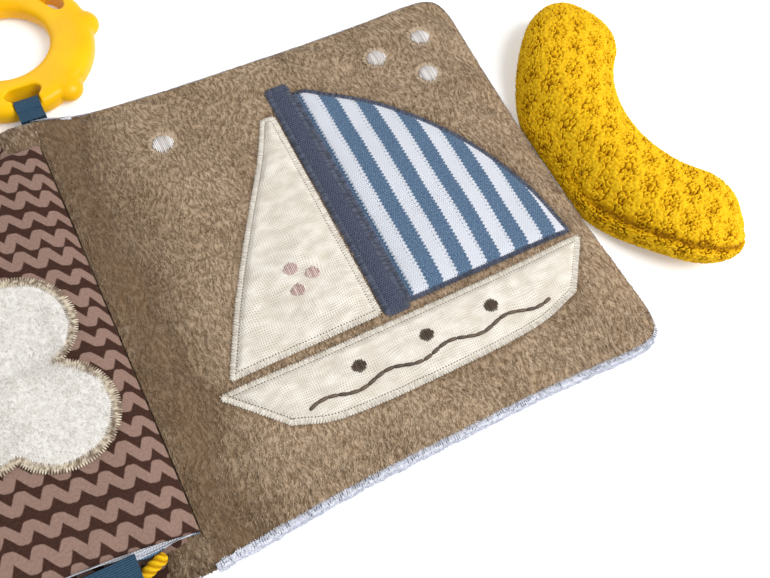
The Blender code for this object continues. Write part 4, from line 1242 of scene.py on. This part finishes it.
def on_back(flat):
    return BACK.place(flat[:, 0], flat[:, 1], flat[:, 2])


def patch_surface(out, up):
    return page_rise(out, up) + 0.25 * PATCH_RISE


def disc_stitches(centre, radius, rise, seed):
    """A dot of satin stitch: threads side by side, from edge to edge, over a raised middle."""
    parts = []
    spacing = 0.68
    random = np.random.default_rng(seed)
    for k, row in enumerate(np.arange(-radius + 0.25, radius - 0.1, spacing)):
        half = math.sqrt(max(radius**2 - row**2, 0.05)) * random.uniform(0.9, 1.08)
        line = np.array([(centre[0] + row - 0.01, centre[1]), (centre[0] + row + 0.01, centre[1])])
        surface = lambda out, up: page_rise(out, up) + rise(out, up)
        parts.append(single_stitch(line, 2 * half, surface, 0.0, 0.7, 0.62, seed + 500 * k))
    return parts


def make_boat():
    """The picture of a sailing boat: two sails, a mast and a hull, each sewn round with satin stitch."""
    make_patch("boat_mainsail_cloth", LUFF, LEECH, "sail", "striped_jersey", "boat_mainsail", knit_relief)
    make_patch("boat_jib_cloth", JIB_LEFT, JIB_MAST, "muslin", "cream_muslin", "boat_jib", muslin_relief)
    make_patch("boat_hull_cloth", KEEL, RAIL, "muslin", "cream_muslin", "boat_hull", muslin_relief)
    half = MAST_WIDTH / 2
    ends = np.linspace(MAST_ENDS[0], MAST_ENDS[1], 60)
    sides = [np.stack((np.full(60, MAST_X + side * half), ends), -1) for side in (-1, 1)]
    make_patch("boat_mast_cloth", sides[0], sides[1], "band", "navy_band", "boat_mast", knit_relief, 24)

    cream = [
        stitches(BORDERS["jib"], SATIN_WIDTH, STITCH_PITCH, patch_surface, 0.15, seed=72),
        stitches(BORDERS["hull"], SATIN_WIDTH, STITCH_PITCH, patch_surface, 0.15, seed=73),
    ]
    thread_piece("cream_satin_borders", cream, "cream_thread", "cream_muslin", on_back, "back_cover")
    blue = [
        stitches(BORDERS["sail"], SATIN_WIDTH + 0.2, STITCH_PITCH, patch_surface, 0.15, seed=74),
        stitches(outline(sides[0], sides[1]), 2.6, STITCH_PITCH, patch_surface, 0.15, seed=75),
    ]
    thread_piece("navy_satin_borders", blue, "blue_thread", "navy_band", on_back, "back_cover")

    on_muslin = lambda out, up: PATCH_RISE + muslin_relief(out, up)
    holes = []
    for k, x in enumerate((72.0, 99.0, 126.0)):
        holes += disc_stitches((x, -51.5), 2.6, on_muslin, 80 + k)
    wave = np.linspace(0, 1, 90)
    wave_line = np.stack((50 + 98 * wave, -58.2 + 1.3 * np.sin(wave * 8 * np.pi)), -1)
    dashes = running_stitches(wave_line, 4.0, lambda out, up: page_rise(out, up) + on_muslin(out, up))
    thread_piece("brown_embroidery", holes + dashes, "brown_thread", "navy_band", on_back, "back_cover")
    holes = [
        stitches(drawn_in(BORDERS[name], 1.3), 0.4, 1.15, lambda out, up: patch_surface(out, up) + 0.5,
                 0.0, 0.06, 0.42, seed=76)
        for name in ("jib", "hull")
    ]
    thread_piece("border_needle_holes", holes, "needle", "cream_muslin", on_back, "back_cover")
    pennant = []
    for k, (x, y) in enumerate(((66.0, -8.0), (72.5, -12.5), (65.0, -16.5))):
        pennant += disc_stitches((x, y), 2.6, on_muslin, 90 + k)
    thread_piece("pink_embroidery", pennant, "pink_thread", "white_thread", on_back, "back_cover")


def drawn_in(line, distance):
    """A closed line moved towards its own middle by a distance."""
    points = even_line(line, 1.0)
    steps = np.gradient(points, axis=0)
    normals = np.stack((-steps[:, 1], steps[:, 0]), -1)
    normals /= np.linalg.norm(normals, axis=1)[:, None] + 1e-9
    towards = points.mean(axis=0) - points
    normals *= np.sign((normals * towards).sum(axis=1))[:, None]
    moved = points + normals * distance
    return moved[np.min(np.linalg.norm(moved[:, None] - points[None], axis=2), axis=1) > 0.8 * distance]


def inside_line(line, x, y):
    """Which places lie inside a closed line."""
    inside = np.zeros(x.shape, bool)
    for (x0, y0), (x1, y1) in zip(line, line[1:]):
        if y0 != y1:
            inside ^= ((y0 > y) != (y1 > y)) & (x < (x1 - x0) * (y - y0) / (y1 - y0) + x0)
    return inside


def hairs(name, roots, leans, length, width, finish, slot, body, seed, cloth, tufts):
    """Short flat hairs of a pile, each along its own lean, with a tone of its tuft and its own."""
    random = np.random.default_rng(seed)
    count = len(roots)
    long = length * random.uniform(0.7, 1.25, count)[:, None]
    aside = np.cross(leans, random.normal(0, 0.35, (count, 3)) + UP)
    aside /= np.linalg.norm(aside, axis=1)[:, None] + 1e-9
    wide = width * random.uniform(0.7, 1.2, count)[:, None] / 2
    tips = roots + leans * long
    places = np.stack((roots - aside * wide, roots + aside * wide, tips + aside * wide / 2,
                       tips - aside * wide / 2), 1)
    faces = np.arange(4 * count).reshape(count, 4)
    tone = np.repeat(np.clip(tufts + random.uniform(-0.16, 0.16, count), 0, 1), 4)
    made = piece(name, places.reshape(-1, 3), faces, finish, slot, tone=tone,
                 cloth=np.repeat(cloth, 4, axis=0))
    if body:
        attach(made, body)
    return made


def make_plush_hairs():
    """The plush page's pile: combed down, spread over the seam at its rim, left out under patches."""
    leaf = BACK
    random = np.random.default_rng(141)
    across = random.uniform(0.004, 0.998, PLUSH_HAIRS)
    along = random.uniform(0.002, 0.998, PLUSH_HAIRS)
    out, up = leaf.plan(across, along)
    covered = np.zeros(out.shape, bool)
    for line in BORDERS.values():
        covered |= inside_line(line, out, up)
    at_mast = np.abs(out - MAST_X - 1.5) < MAST_WIDTH / 2 + 1.5
    covered |= at_mast & (up > MAST_ENDS[0]) & (up < MAST_ENDS[1] - 3)
    for x, y in DOTS:
        covered |= (out - x) ** 2 + (up - y) ** 2 < (0.8 * DOT_RADIUS) ** 2
    across, along, out, up = (values[~covered] for values in (across, along, out, up))
    level = leaf.middle(across) + leaf.padding(across, along) + sewn_sink(out, up) + pile_relief(out, up, 11)
    roots = leaf.place(out, up, level - 0.2)
    # The tufts' tone: random, less the painted shade that darkens them near the spine.
    tufts = 0.56 + 0.6 * lattice_noise(out, 0.45 * up, 0.55, 144) - 0.15 * np.exp(-((out / 20) ** 2))
    heading = -np.pi / 2 + 0.8 * lattice_noise(out, up, 30, 142) + random.normal(0, 0.2, len(out))
    heading += 0.5 * lattice_noise(out, up, 1.8, 145)
    flat = np.stack((np.cos(heading), np.sin(heading)), -1)
    side = 2 * np.minimum(along, 1 - along) * leaf.half_height
    outer = (1 - across) * leaf.width
    flat[:, 1] += 0.5 * np.sign(along - 0.5) * np.exp(-((side / 2.0) ** 2))
    flat[:, 0] += 0.5 * np.exp(-((outer / 2.0) ** 2))
    flat /= np.linalg.norm(flat, axis=1)[:, None]
    lean = np.radians(random.uniform(52, 76, len(out)))
    leans = np.stack((flat[:, 0] * np.sin(lean), flat[:, 1] * np.sin(lean), np.cos(lean)), -1)
    cloth = level_places(out, up)
    hairs("back_page_pile", roots, leans, *PLUSH_HAIR, "plush_hair", "brown_plush", "back_cover", 143, cloth,
          tufts)


def make_fleece_hairs():
    """Loose fibres on the cloud."""
    random = np.random.default_rng(151)
    turn = random.integers(0, 480, FLEECE_HAIRS)
    share = np.sqrt(random.uniform(0, 1, FLEECE_HAIRS))[:, None] * 0.98
    flat = np.array(CLOUD_MIDDLE) + (cloud_outline(480)[turn] - np.array(CLOUD_MIDDLE)) * share
    x, y = flat[:, 0], flat[:, 1]
    height = 0.1 * lattice_noise(x, y, 1.3, 121) + 0.3 * lattice_noise(x, y, 4.6, 122)
    inside = swell((1 - share[:, 0]) * 22, 3.5)
    roots = on_middle(np.stack((x, y, CLOUD_RISE * (0.2 + 0.8 * inside) + height * inside - 0.1), -1))
    heading = random.uniform(0, 2 * np.pi, FLEECE_HAIRS)
    lean = np.radians(random.uniform(45, 80, FLEECE_HAIRS))
    leans = np.stack((np.cos(heading) * np.sin(lean), np.sin(heading) * np.sin(lean), np.cos(lean)), -1)
    cloth = level_places(x, y)
    hairs("cloud_pile", roots, leans, *FLEECE_HAIR, "fleece_hair", "cloud_fleece", "middle_leaf", 152, cloth,
          0.5 + 0.4 * lattice_noise(x, y, 2.0, 153))


def running_stitches(line, length, surface):
    """Thick stitches end to end along a line, with small gaps."""
    centres = even_line(line, length - 0.3)
    parts = []
    for k, (start, end) in enumerate(zip(centres, centres[1:])):
        along = (end - start) / np.linalg.norm(end - start)
        middle = (start + end) / 2
        across = np.array((-along[1], along[0]))
        row = np.array([middle - across * 0.01, middle + across * 0.01])
        parts.append(single_stitch(row, length, surface, 0.0, 0.7, 1.35, 100 + k))
    return parts


def make_dots():
    """Four raised dots of white satin stitch beside the sails."""
    for k, (x, y) in enumerate(DOTS):
        def crown(out, up, x=x, y=y):
            return 0.9 * np.sqrt(np.maximum(1 - ((out - x) ** 2 + (up - y) ** 2) / (DOT_RADIUS + 0.6) ** 2,
                                            0))
        made = thread_piece(
            f"embroidered_dot_{k + 1}_thread", disc_stitches((x, y), DOT_RADIUS, crown, 110 + k),
            "white_thread", "white_thread", on_back, "back_cover",
        )
        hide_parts(f"embroidered_dot_{k + 1}")
        random = np.random.default_rng(170 + k)
        turn = random.uniform(0, 2 * np.pi, DOT_FRINGE_HAIRS)
        away = np.stack((np.cos(turn), np.sin(turn), 0.35 + 0 * turn), -1)
        spot = np.array((x, y)) + away[:, :2] * random.uniform(0.8, 1.15, DOT_FRINGE_HAIRS)[:,
                                                                                            None] * DOT_RADIUS
        roots = BACK.place(spot[:, 0], spot[:, 1], page_rise(spot[:, 0], spot[:, 1]) + 0.05)
        hairs(f"embroidered_dot_{k + 1}_fringe", roots, away / np.linalg.norm(away, axis=1)[:, None], 1.5,
              0.26,
              "plush_hair", "brown_plush", "back_cover", 180 + k, roots, 0.9 + 0 * turn)


def cloud_outline(count, grow=0.0):
    """The cloud's edge: the farthest of its round lobes in each direction from its middle."""
    turn = np.linspace(0, 2 * np.pi, count, endpoint=False)
    edge = np.zeros(count)
    for x, y, radius in CLOUD_LOBES:
        dx, dy = x - CLOUD_MIDDLE[0], y - CLOUD_MIDDLE[1]
        along = dx * np.cos(turn) + dy * np.sin(turn)
        beside = dx**2 + dy**2 - along**2
        inside = (radius + grow) ** 2 - beside
        edge = np.maximum(edge, np.where(inside > 0, along + np.sqrt(np.maximum(inside, 0)), 0))
    return np.stack((CLOUD_MIDDLE[0] + edge * np.cos(turn), CLOUD_MIDDLE[1] + edge * np.sin(turn)), -1)


def on_middle(flat):
    """Places on the middle leaf from plain ones: x to the right, y up the page and a rise over its cloth."""
    out = -flat[..., 0] / math.cos(MIDDLE_TILT)
    level = MIDDLE.top(out, flat[..., 1])
    out = out + level * math.tan(MIDDLE_TILT)
    return MIDDLE.place(out, flat[..., 1], MIDDLE.top(out, flat[..., 1]) + flat[..., 2])


def make_cloud():
    """The fleece cloud on the middle leaf, with a zigzag border in two threads."""
    rim = cloud_outline(480)
    rings = np.linspace(0, 1, 90)[:, None, None]
    centre = np.array(CLOUD_MIDDLE)
    flat = centre + (rim[None] - centre) * rings
    flat = np.concatenate((flat, flat[:, :1]), axis=1)
    x, y = flat[..., 0], flat[..., 1]
    left = np.broadcast_to((1 - rings[..., 0]) * 22, x.shape)
    inside = swell(left, 3.5)
    tufts = 0.1 * lattice_noise(x, y, 1.3, 121) + 0.3 * lattice_noise(x, y, 4.6, 122)
    height = tufts * inside
    upper = on_middle(np.stack((x, y, CLOUD_RISE * (0.2 + 0.8 * inside) + height), -1))
    lower = on_middle(np.stack((x, y, 0 * x + 0.05), -1))
    cloth = level_places(x, y)
    made = shell("cloud_fleece_cloth", upper, lower, "fleece", "cloud_fleece", cloth,
                 np.clip(0.5 + height, 0, 1))
    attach(made, "middle_leaf")
    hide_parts("cloud_patch")
    np.ptp(x) * MM
    np.ptp(y) * MM
    edge = cloud_outline(900, -0.6)
    edge = np.concatenate((edge, edge[:1]))
    places, faces, _ = stitches(edge, 3.7, 0.4, lambda out, up: 0 * out + 0.75, 0.35, 0.45, 0.44, 123, 0.04)
    mottled = np.clip(0.5 + 0.9 * lattice_noise(places[:, 0], places[:, 1], 0.8, 124), 0, 1)
    border = [(places, faces, mottled)]
    thread_piece("cloud_zigzag_border", border, "beige_thread", "cloud_fleece", on_middle, "middle_leaf")


def ribbon(name, path, across, place, thickness, slot):
    """A tape bent along a path in a plane, its two woven edges a little thicker than its middle."""
    steps = np.gradient(path, axis=0)
    steps /= np.linalg.norm(steps, axis=1)[:, None] + 1e-9
    normals = np.stack((steps[:, 1], -steps[:, 0]), -1)
    edge = 1 - np.abs(2 * (across - across[0]) / (across[-1] - across[0]) - 1)
    thick = thickness / 2 * (0.8 + 0.35 * np.exp(-((edge / 0.07) ** 2)))
    run = np.concatenate(((0,), np.cumsum(np.linalg.norm(np.diff(path, axis=0), axis=1))))
    sides = []
    for sign in (1, -1):
        offset = path[:, None] + sign * normals[:, None] * thick[None, :, None]
        sides.append(place(np.broadcast_to(across[None], offset.shape[:2]), offset[..., 0], offset[..., 1]))
    cloth = np.stack(np.broadcast_arrays(across[None], run[:, None], 0.0), -1)
    return shell(name, sides[0], sides[1], "tape", slot, cloth)


def make_tab():
    """The folded petrol tape whose ends are sewn into the middle leaf's bottom seam."""
    leaf = Leaf(-1, LEAF_START, MIDDLE_WIDTH, MIDDLE_HEIGHT, MIDDLE_DRAW_IN, MIDDLE_EAR, 16, 30, False)
    edge = float(leaf.side_at(np.array(TAB_OUT[0] - LEAF_START))) + 0.3
    path = smooth_line([(-edge - along * TAB_LENGTH, rise * TAB_RISE) for along, rise in TAB_SHARES], 110)
    across = TAB_OUT[0] + crowded(34, 0.8) * (TAB_OUT[1] - TAB_OUT[0])
    made = ribbon("tape_tab_cloth", path, across, leaf.place, 0.7, "petrol_tape")
    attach(made, "middle_leaf")
    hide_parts("tape_tab")


def make_tape_loop():
    """The tape round the ring's bar."""
    turn = np.radians(np.linspace(-130, 130, 60))
    bar = np.array((RING_BAR_Y, RING_CENTRE[2]))
    arc = bar + LOOP_RADIUS * np.stack((np.cos(turn), np.sin(turn)), -1)
    gap = (LOOP_THICKNESS + 0.3) / 2
    low = np.linspace((LOOP_START_Y, LOOP_SEAM_HEIGHT - gap), arc[0], 14)[:-1]
    high = np.linspace(arc[-1], (LOOP_START_Y, LOOP_SEAM_HEIGHT + gap), 14)[1:]
    path = np.concatenate((low, arc, high))
    across = RING_CENTRE[0] + (crowded(16) - 0.5) * LOOP_WIDTH
    place = lambda x, y, z: np.stack((x, y, z), -1)
    made = ribbon("ring_tape", path, across, place, LOOP_THICKNESS, "petrol_tape")
    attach(made, "tape_loop")
    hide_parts("ring_tape_loop")


def tube(name, line, radius_at, sides, finish, slot):
    """A closed tube along a line; radius_at gives its radius from the run along it and the turn round it."""
    steps = np.gradient(line, axis=0)
    steps /= np.linalg.norm(steps, axis=1)[:, None]
    side = np.cross(steps, (0.0, 0.0, 1.0))
    side /= np.linalg.norm(side, axis=1)[:, None] + 1e-9
    up = np.cross(side, steps)
    run = np.concatenate(((0,), np.cumsum(np.linalg.norm(np.diff(line, axis=0), axis=1))))
    turn = np.linspace(0, 2 * np.pi, sides, endpoint=False)
    radius, height = radius_at(run[:, None], turn[None])
    ring = side[:, None] * np.cos(turn)[None, :, None] + up[:, None] * np.sin(turn)[None, :, None]
    places = line[:, None] + ring * radius[..., None]
    index = np.arange(len(line) * sides).reshape(len(line), sides)
    here, after = index[:-1], index[1:]
    around = np.roll(np.arange(sides), -1)
    faces = [np.stack((here, here[:, around], after[:, around], after), -1).reshape(-1, 4)]
    last = len(line) * sides
    ends = [(0, line[0]), (len(line) - 1, line[-1])]
    points = [places.reshape(-1, 3)]
    for k, (row, centre) in enumerate(ends):
        points.append(centre[None])
        for a in range(0, sides, 2):
            corner = index[row, [a, (a + 1) % sides, (a + 2) % sides]]
            faces.append(np.array([[corner[0], corner[1], corner[2], last + k]]))
    cloth = np.stack(np.broadcast_arrays(run[:, None], turn[None] * 2.1, 0.0), -1).reshape(-1, 3)
    cloth = np.concatenate((cloth, np.zeros((2, 3))))
    height = np.concatenate((height.ravel(), (0.5, 0.5)))
    return piece(name, np.concatenate(points), np.concatenate(faces), finish, slot, cloth=cloth,
                 relief=height)


def crochet(radius, stitch):
    """A chain of yarn loops round a cord: its radius and relief along the run and round the turn."""
    def at(run, turn):
        chain = np.sin(3 * turn + 2 * np.pi * run / stitch) * 0.5 + 0.5
        loop = np.abs(np.sin(np.pi * run / stitch + 1.5 * turn))
        height = np.clip(0.15 + 0.5 * chain + 0.4 * loop, 0, 1)
        return radius * (0.78 + 0.24 * height) * (0.25 + 0.75 * swell(run, 2.2)), height
    return at


def make_cord():
    """The knitted cord from the spine over the cover's edge to the table, and the knot on its end."""
    low, high = (Vector(corner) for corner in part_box("cord_knot"))
    middle = np.array((low + high) / 2) / MM
    line = even_line(smooth_line([*CORD_ROUTE, tuple(middle)], 400), 0.28)
    cord = tube("knitted_cord", line, crochet(CORD_RADIUS, 2.3), 28, "knit", "yellow_knit")
    turn = np.linspace(0, 2 * np.pi, 150)
    heading = math.atan2(line[-1][1] - line[-8][1], line[-1][0] - line[-8][0])
    loops = np.stack((
        1.35 * (np.sin(turn) + 1.55 * np.sin(2 * turn)),
        np.cos(turn) - 1.5 * np.cos(2 * turn),
        -1.15 * np.sin(3 * turn),
    ), -1)
    rotated = loops @ np.array(
        ((math.cos(heading), math.sin(heading), 0), (-math.sin(heading), math.cos(heading), 0), (0, 0, 1))
    )
    knot = tube("cord_knot_yarn", rotated + middle, crochet(1.75, 2.2), 24, "knit", "yellow_knit")
    for made, node in ((cord, "yellow_cord"), (knot, "cord_knot")):
        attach(made, "front_cover")
        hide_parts(node)
    path = [[c * MM for c in point] for point in (*line[::6], line[-1])]
    [c * MM for c in CORD_ROUTE[0]]


def crescent_plan(along, across):
    """Places of shares along the crescent's arc and across its width."""
    turn = (2 * along - 1) * CRESCENT_HALF_ANGLE
    w = 2 * across - 1
    left = (1 - np.abs(2 * along - 1)) * CRESCENT_HALF_ANGLE * CRESCENT_RADIUS
    narrow = CRESCENT_TIP_SHARE + (1 - CRESCENT_TIP_SHARE) * swell(left, CRESCENT_HALF_WIDTH)
    half = CRESCENT_HALF_WIDTH * narrow
    half = np.where(w > 0, np.minimum(half, CRESCENT_REACH / np.cos(turn) - CRESCENT_RADIUS), half)
    radius = CRESCENT_RADIUS + w * half
    x = CRESCENT_SEAM_X + CRESCENT_REACH - radius * np.cos(turn)
    y = CRESCENT_CENTRE_Y + radius * np.sin(turn)
    end = swell(left, CRESCENT_END_SWELL)
    thick = SEAM_HALF + (CRESCENT_HALF - SEAM_HALF) * np.sqrt(np.maximum(1 - w * w, 0)) * end
    lift = 1 - np.exp(-(((x - CRESCENT_SEAM_X) / CRESCENT_LIFT) ** 2))
    middle = CRESCENT_SEAM_HEIGHT + (CRESCENT_HALF - 0.5 - CRESCENT_SEAM_HEIGHT) * lift
    return x, y, middle, thick


def eyelet_relief(x, y):
    """Openwork knit: smooth ribs between columns of eyelet clusters, whose yarn curls round small holes."""
    rib_x, rib_y = -0.6, -0.8
    along = x * rib_x + y * rib_y
    across = x * -rib_y + y * rib_x
    column = np.floor(across / KNIT_RIB_PITCH)
    beside = across - (column + 0.5) * KNIT_RIB_PITCH
    shifted = along + np.where(column % 2 == 0, 0, KNIT_CLUSTER_PITCH / 2)
    ahead = np.mod(shifted, KNIT_CLUSTER_PITCH) - KNIT_CLUSTER_PITCH / 2
    cluster = np.clip(2.3 - 2.1 * ((beside / 4.2) ** 2 + (ahead / 6.2) ** 2), 0.06, 1)
    moved_along = along + 0.6 * lattice_noise(x, y, 2.2, 132)
    moved_across = across + 0.6 * lattice_noise(x, y, 2.2, 133)
    row = np.floor(moved_along / CURL_PITCH)
    u = np.mod(moved_across / CURL_PITCH + 0.5 * (row % 2), 1) - 0.5
    v = np.mod(moved_along / CURL_PITCH, 1) - 0.5
    cell = np.floor(moved_across / CURL_PITCH + 0.5 * (row % 2)).astype(int) % 64
    table = np.random.default_rng(134).uniform(0, 1, (2, 64, 64))[:, row.astype(int) % 64, cell]
    size = 0.2 + 0.14 * table[1]
    yarn = np.clip(1.1 - ((np.hypot(u, 0.85 * v) - size) / 0.17) ** 2, 0, 1)
    turn = 2 * np.pi * table[0]
    open_side = np.clip(2.6 * (u * np.cos(turn) + v * np.sin(turn)) + 0.6, 0, 1)
    curls = 1 - (1 - yarn) * (0.3 + 0.7 * open_side)
    eye = np.exp(-(((beside + 0.4) / 1.2) ** 2) - ((ahead - 0.6) / 0.9) ** 2)
    wales = np.abs(np.sin(np.pi * across / 2.05))
    rows = np.sin(2 * np.pi * (along + 0.5 * wales) / 1.9)
    plain = 0.8 + 0.12 * wales + 0.1 * rows
    rough = 0.12 * lattice_noise(x, y, 0.9, 131)
    return np.clip(plain * (1 - cluster) + cluster * (0.2 + 0.8 * curls) - 0.6 * eye + rough, 0, 1)


def unrolled_crescent(x, y, thick, along, sign):
    """Places of a panel's knit as measured over its bulge, so that the pattern isn't stretched at the rim."""
    steps = np.sqrt(np.diff(x, axis=1) ** 2 + np.diff(y, axis=1) ** 2 + np.diff(thick, axis=1) ** 2)
    run = np.concatenate((np.zeros((len(x), 1)), np.cumsum(steps, axis=1)), axis=1)
    middle = run.shape[1] // 2
    radius = CRESCENT_RADIUS + run - run[:, middle : middle + 1]
    turn = (2 * along - 1) * CRESCENT_HALF_ANGLE
    panel = PANEL_SHIFT if sign < 0 else (0, 0)
    return (
        CRESCENT_SEAM_X + CRESCENT_REACH - radius * np.cos(turn) + panel[0],
        CRESCENT_CENTRE_Y + radius * np.sin(turn) + panel[1],
    )


def make_crescent():
    """The stuffed crescent's two knit panels, sewn together along its edge and into the page's seam."""
    for name, sign, node in CRESCENT_PANELS:
        along, across = np.meshgrid(crowded(520, 0.3), crowded(190, 0.7), indexing="ij")
        x, y, middle, thick = crescent_plan(along, across)
        relief = eyelet_relief(*unrolled_crescent(x, y, thick, along, sign))
        w = 2 * across - 1
        # The seam's crease sinks the knit, and through the relief also darkens its colour as painted shade.
        seam = np.exp(-(((w - KNIT_CREASE) * CRESCENT_HALF_WIDTH / 1.1) ** 2)) * np.clip(3.4 - 7 * along, 0,
                                                                                         1)
        relief = np.clip(relief - 0.6 * seam, 0, 1)
        turn = (2 * along - 1) * CRESCENT_HALF_ANGLE
        push = 1.3 * (relief - 0.85)
        x = x - push * w**5 * np.cos(turn) + push * (2 * along - 1) ** 9 * np.sin(turn)
        y = y + push * w**5 * np.sin(turn) + push * (2 * along - 1) ** 9 * np.cos(turn)
        rim = np.minimum(across, 1 - across) * 2 * CRESCENT_HALF_WIDTH
        ends = (1 - np.abs(2 * along - 1)) * CRESCENT_HALF_ANGLE * CRESCENT_RADIUS
        inside = swell(rim, 1.2) * swell(ends, 1.5)
        depth = KNIT_DEPTH * (relief - 0.85) * inside
        if sign < 0:
            lower = np.maximum(middle - thick, 0.05)
            upper = np.minimum(lower + 1.2, middle - 0.02)
        else:
            upper = middle + thick + depth
            lower = np.maximum(middle + thick - 2.6, middle + 0.02)
        grids = [np.stack((x, y, z), -1) for z in (upper, lower)]
        made = shell(name, grids[0], grids[1], "knit", "yellow_knit", relief=relief)
        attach(made, "crescent")
        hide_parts(node)


def make_ring():
    """The moulded ring: the CAD form with its edges softened as in a mould."""
    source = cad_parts["teether_ring"]
    made = bpy.data.objects.new("teether_moulding", source.data.copy())
    made.matrix_world = source.matrix_world
    bpy.context.scene.collection.objects.link(made)
    remesh = made.modifiers.new("even_mesh", "REMESH")
    remesh.mode = "VOXEL"
    remesh.voxel_size = 0.6 * MM
    soften = made.modifiers.new("soft_edges", "SMOOTH")
    soften.factor = 0.5
    soften.iterations = 8
    bpy.context.view_layer.update()
    settled = made.evaluated_get(bpy.context.evaluated_depsgraph_get())
    mesh = bpy.data.meshes.new_from_object(settled)
    made.modifiers.clear()
    made.data = mesh
    mesh.materials.clear()
    mesh.materials.append(FINISHES["rubber"])
    mesh.polygons.foreach_set("use_smooth", np.ones(len(mesh.polygons), bool))
    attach(made, "ring")
    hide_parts("teether_ring")


def finish_inner_nodes():
    """Give the padding and the film inside the leaves their own materials."""
    for name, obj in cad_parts.items():
        inner = "foil" if name.endswith("foil") else "wadding"
        if name.endswith(("foil", "wadding", "filling")):
            for slot in obj.material_slots:
                slot.material = FINISHES[inner]


def make_camera():
    azimuth, elevation = CAMERA_AZIMUTH, CAMERA_ELEVATION
    back = Vector((
        math.sin(azimuth) * math.cos(elevation), -math.cos(azimuth) * math.cos(elevation), math.sin(elevation),
    ))
    level = Vector((math.cos(azimuth), math.sin(azimuth), 0))
    rise = back.cross(level)
    right = math.cos(CAMERA_ROLL) * level + math.sin(CAMERA_ROLL) * rise
    up = back.cross(right)
    data = bpy.data.cameras.new("photo_camera")
    data.lens = CAMERA_LENS
    data.clip_start = 0.01
    camera = bpy.data.objects.new("photo_camera", data)
    turned = Matrix((right, up, back)).transposed().to_4x4()
    camera.matrix_world = Matrix.Translation(Vector(CAMERA_AT) * MM) @ turned
    bpy.context.scene.collection.objects.link(camera)
    bpy.context.scene.camera = camera


def make_studio():
    """A white sweep, an even white surround and two large soft lamps."""
    world = bpy.data.worlds.new("studio")
    world.use_nodes = True
    tree = world.node_tree
    background = tree.nodes["Background"]
    background.inputs["Color"].default_value = (1, 1, 1, 1)
    strength = add_node(tree, "MapRange", (looked_at(tree), 0.0, 1.0, WORLD_STRENGTH, 1.0))
    tree.links.new(strength, background.inputs["Strength"])
    bpy.context.scene.world = world
    for name, power, size, at in (
        ("key_lamp", KEY_POWER, KEY_SIZE, KEY_AT), ("fill_lamp", FILL_POWER, FILL_SIZE, FILL_AT),
    ):
        lamp = bpy.data.lights.new(name, "AREA")
        lamp.energy = power
        lamp.size = size
        obj = bpy.data.objects.new(name, lamp)
        obj.location = at
        obj.rotation_euler = (-Vector(at)).to_track_quat("-Z", "Y").to_euler()
        bpy.context.scene.collection.objects.link(obj)
    side = 2000.0
    even = np.linspace(-side, side, 9)
    x, y = np.meshgrid(even, even)
    top = np.stack((x, y, 0 * x - 0.02), -1)
    floor = shell("floor", top, top - np.array((0, 0, 4.0)), "floor", "white_thread")
    bpy.context.scene.view_settings.view_transform = "Standard"


make_camera()
make_cord()
make_leaves()
make_spine()
make_boat()
make_dots()
make_plush_hairs()
make_spine_hairs()
make_cloud()
make_fleece_hairs()
make_tab()
make_tape_loop()
make_crescent()
make_ring()
finish_inner_nodes()
make_studio()
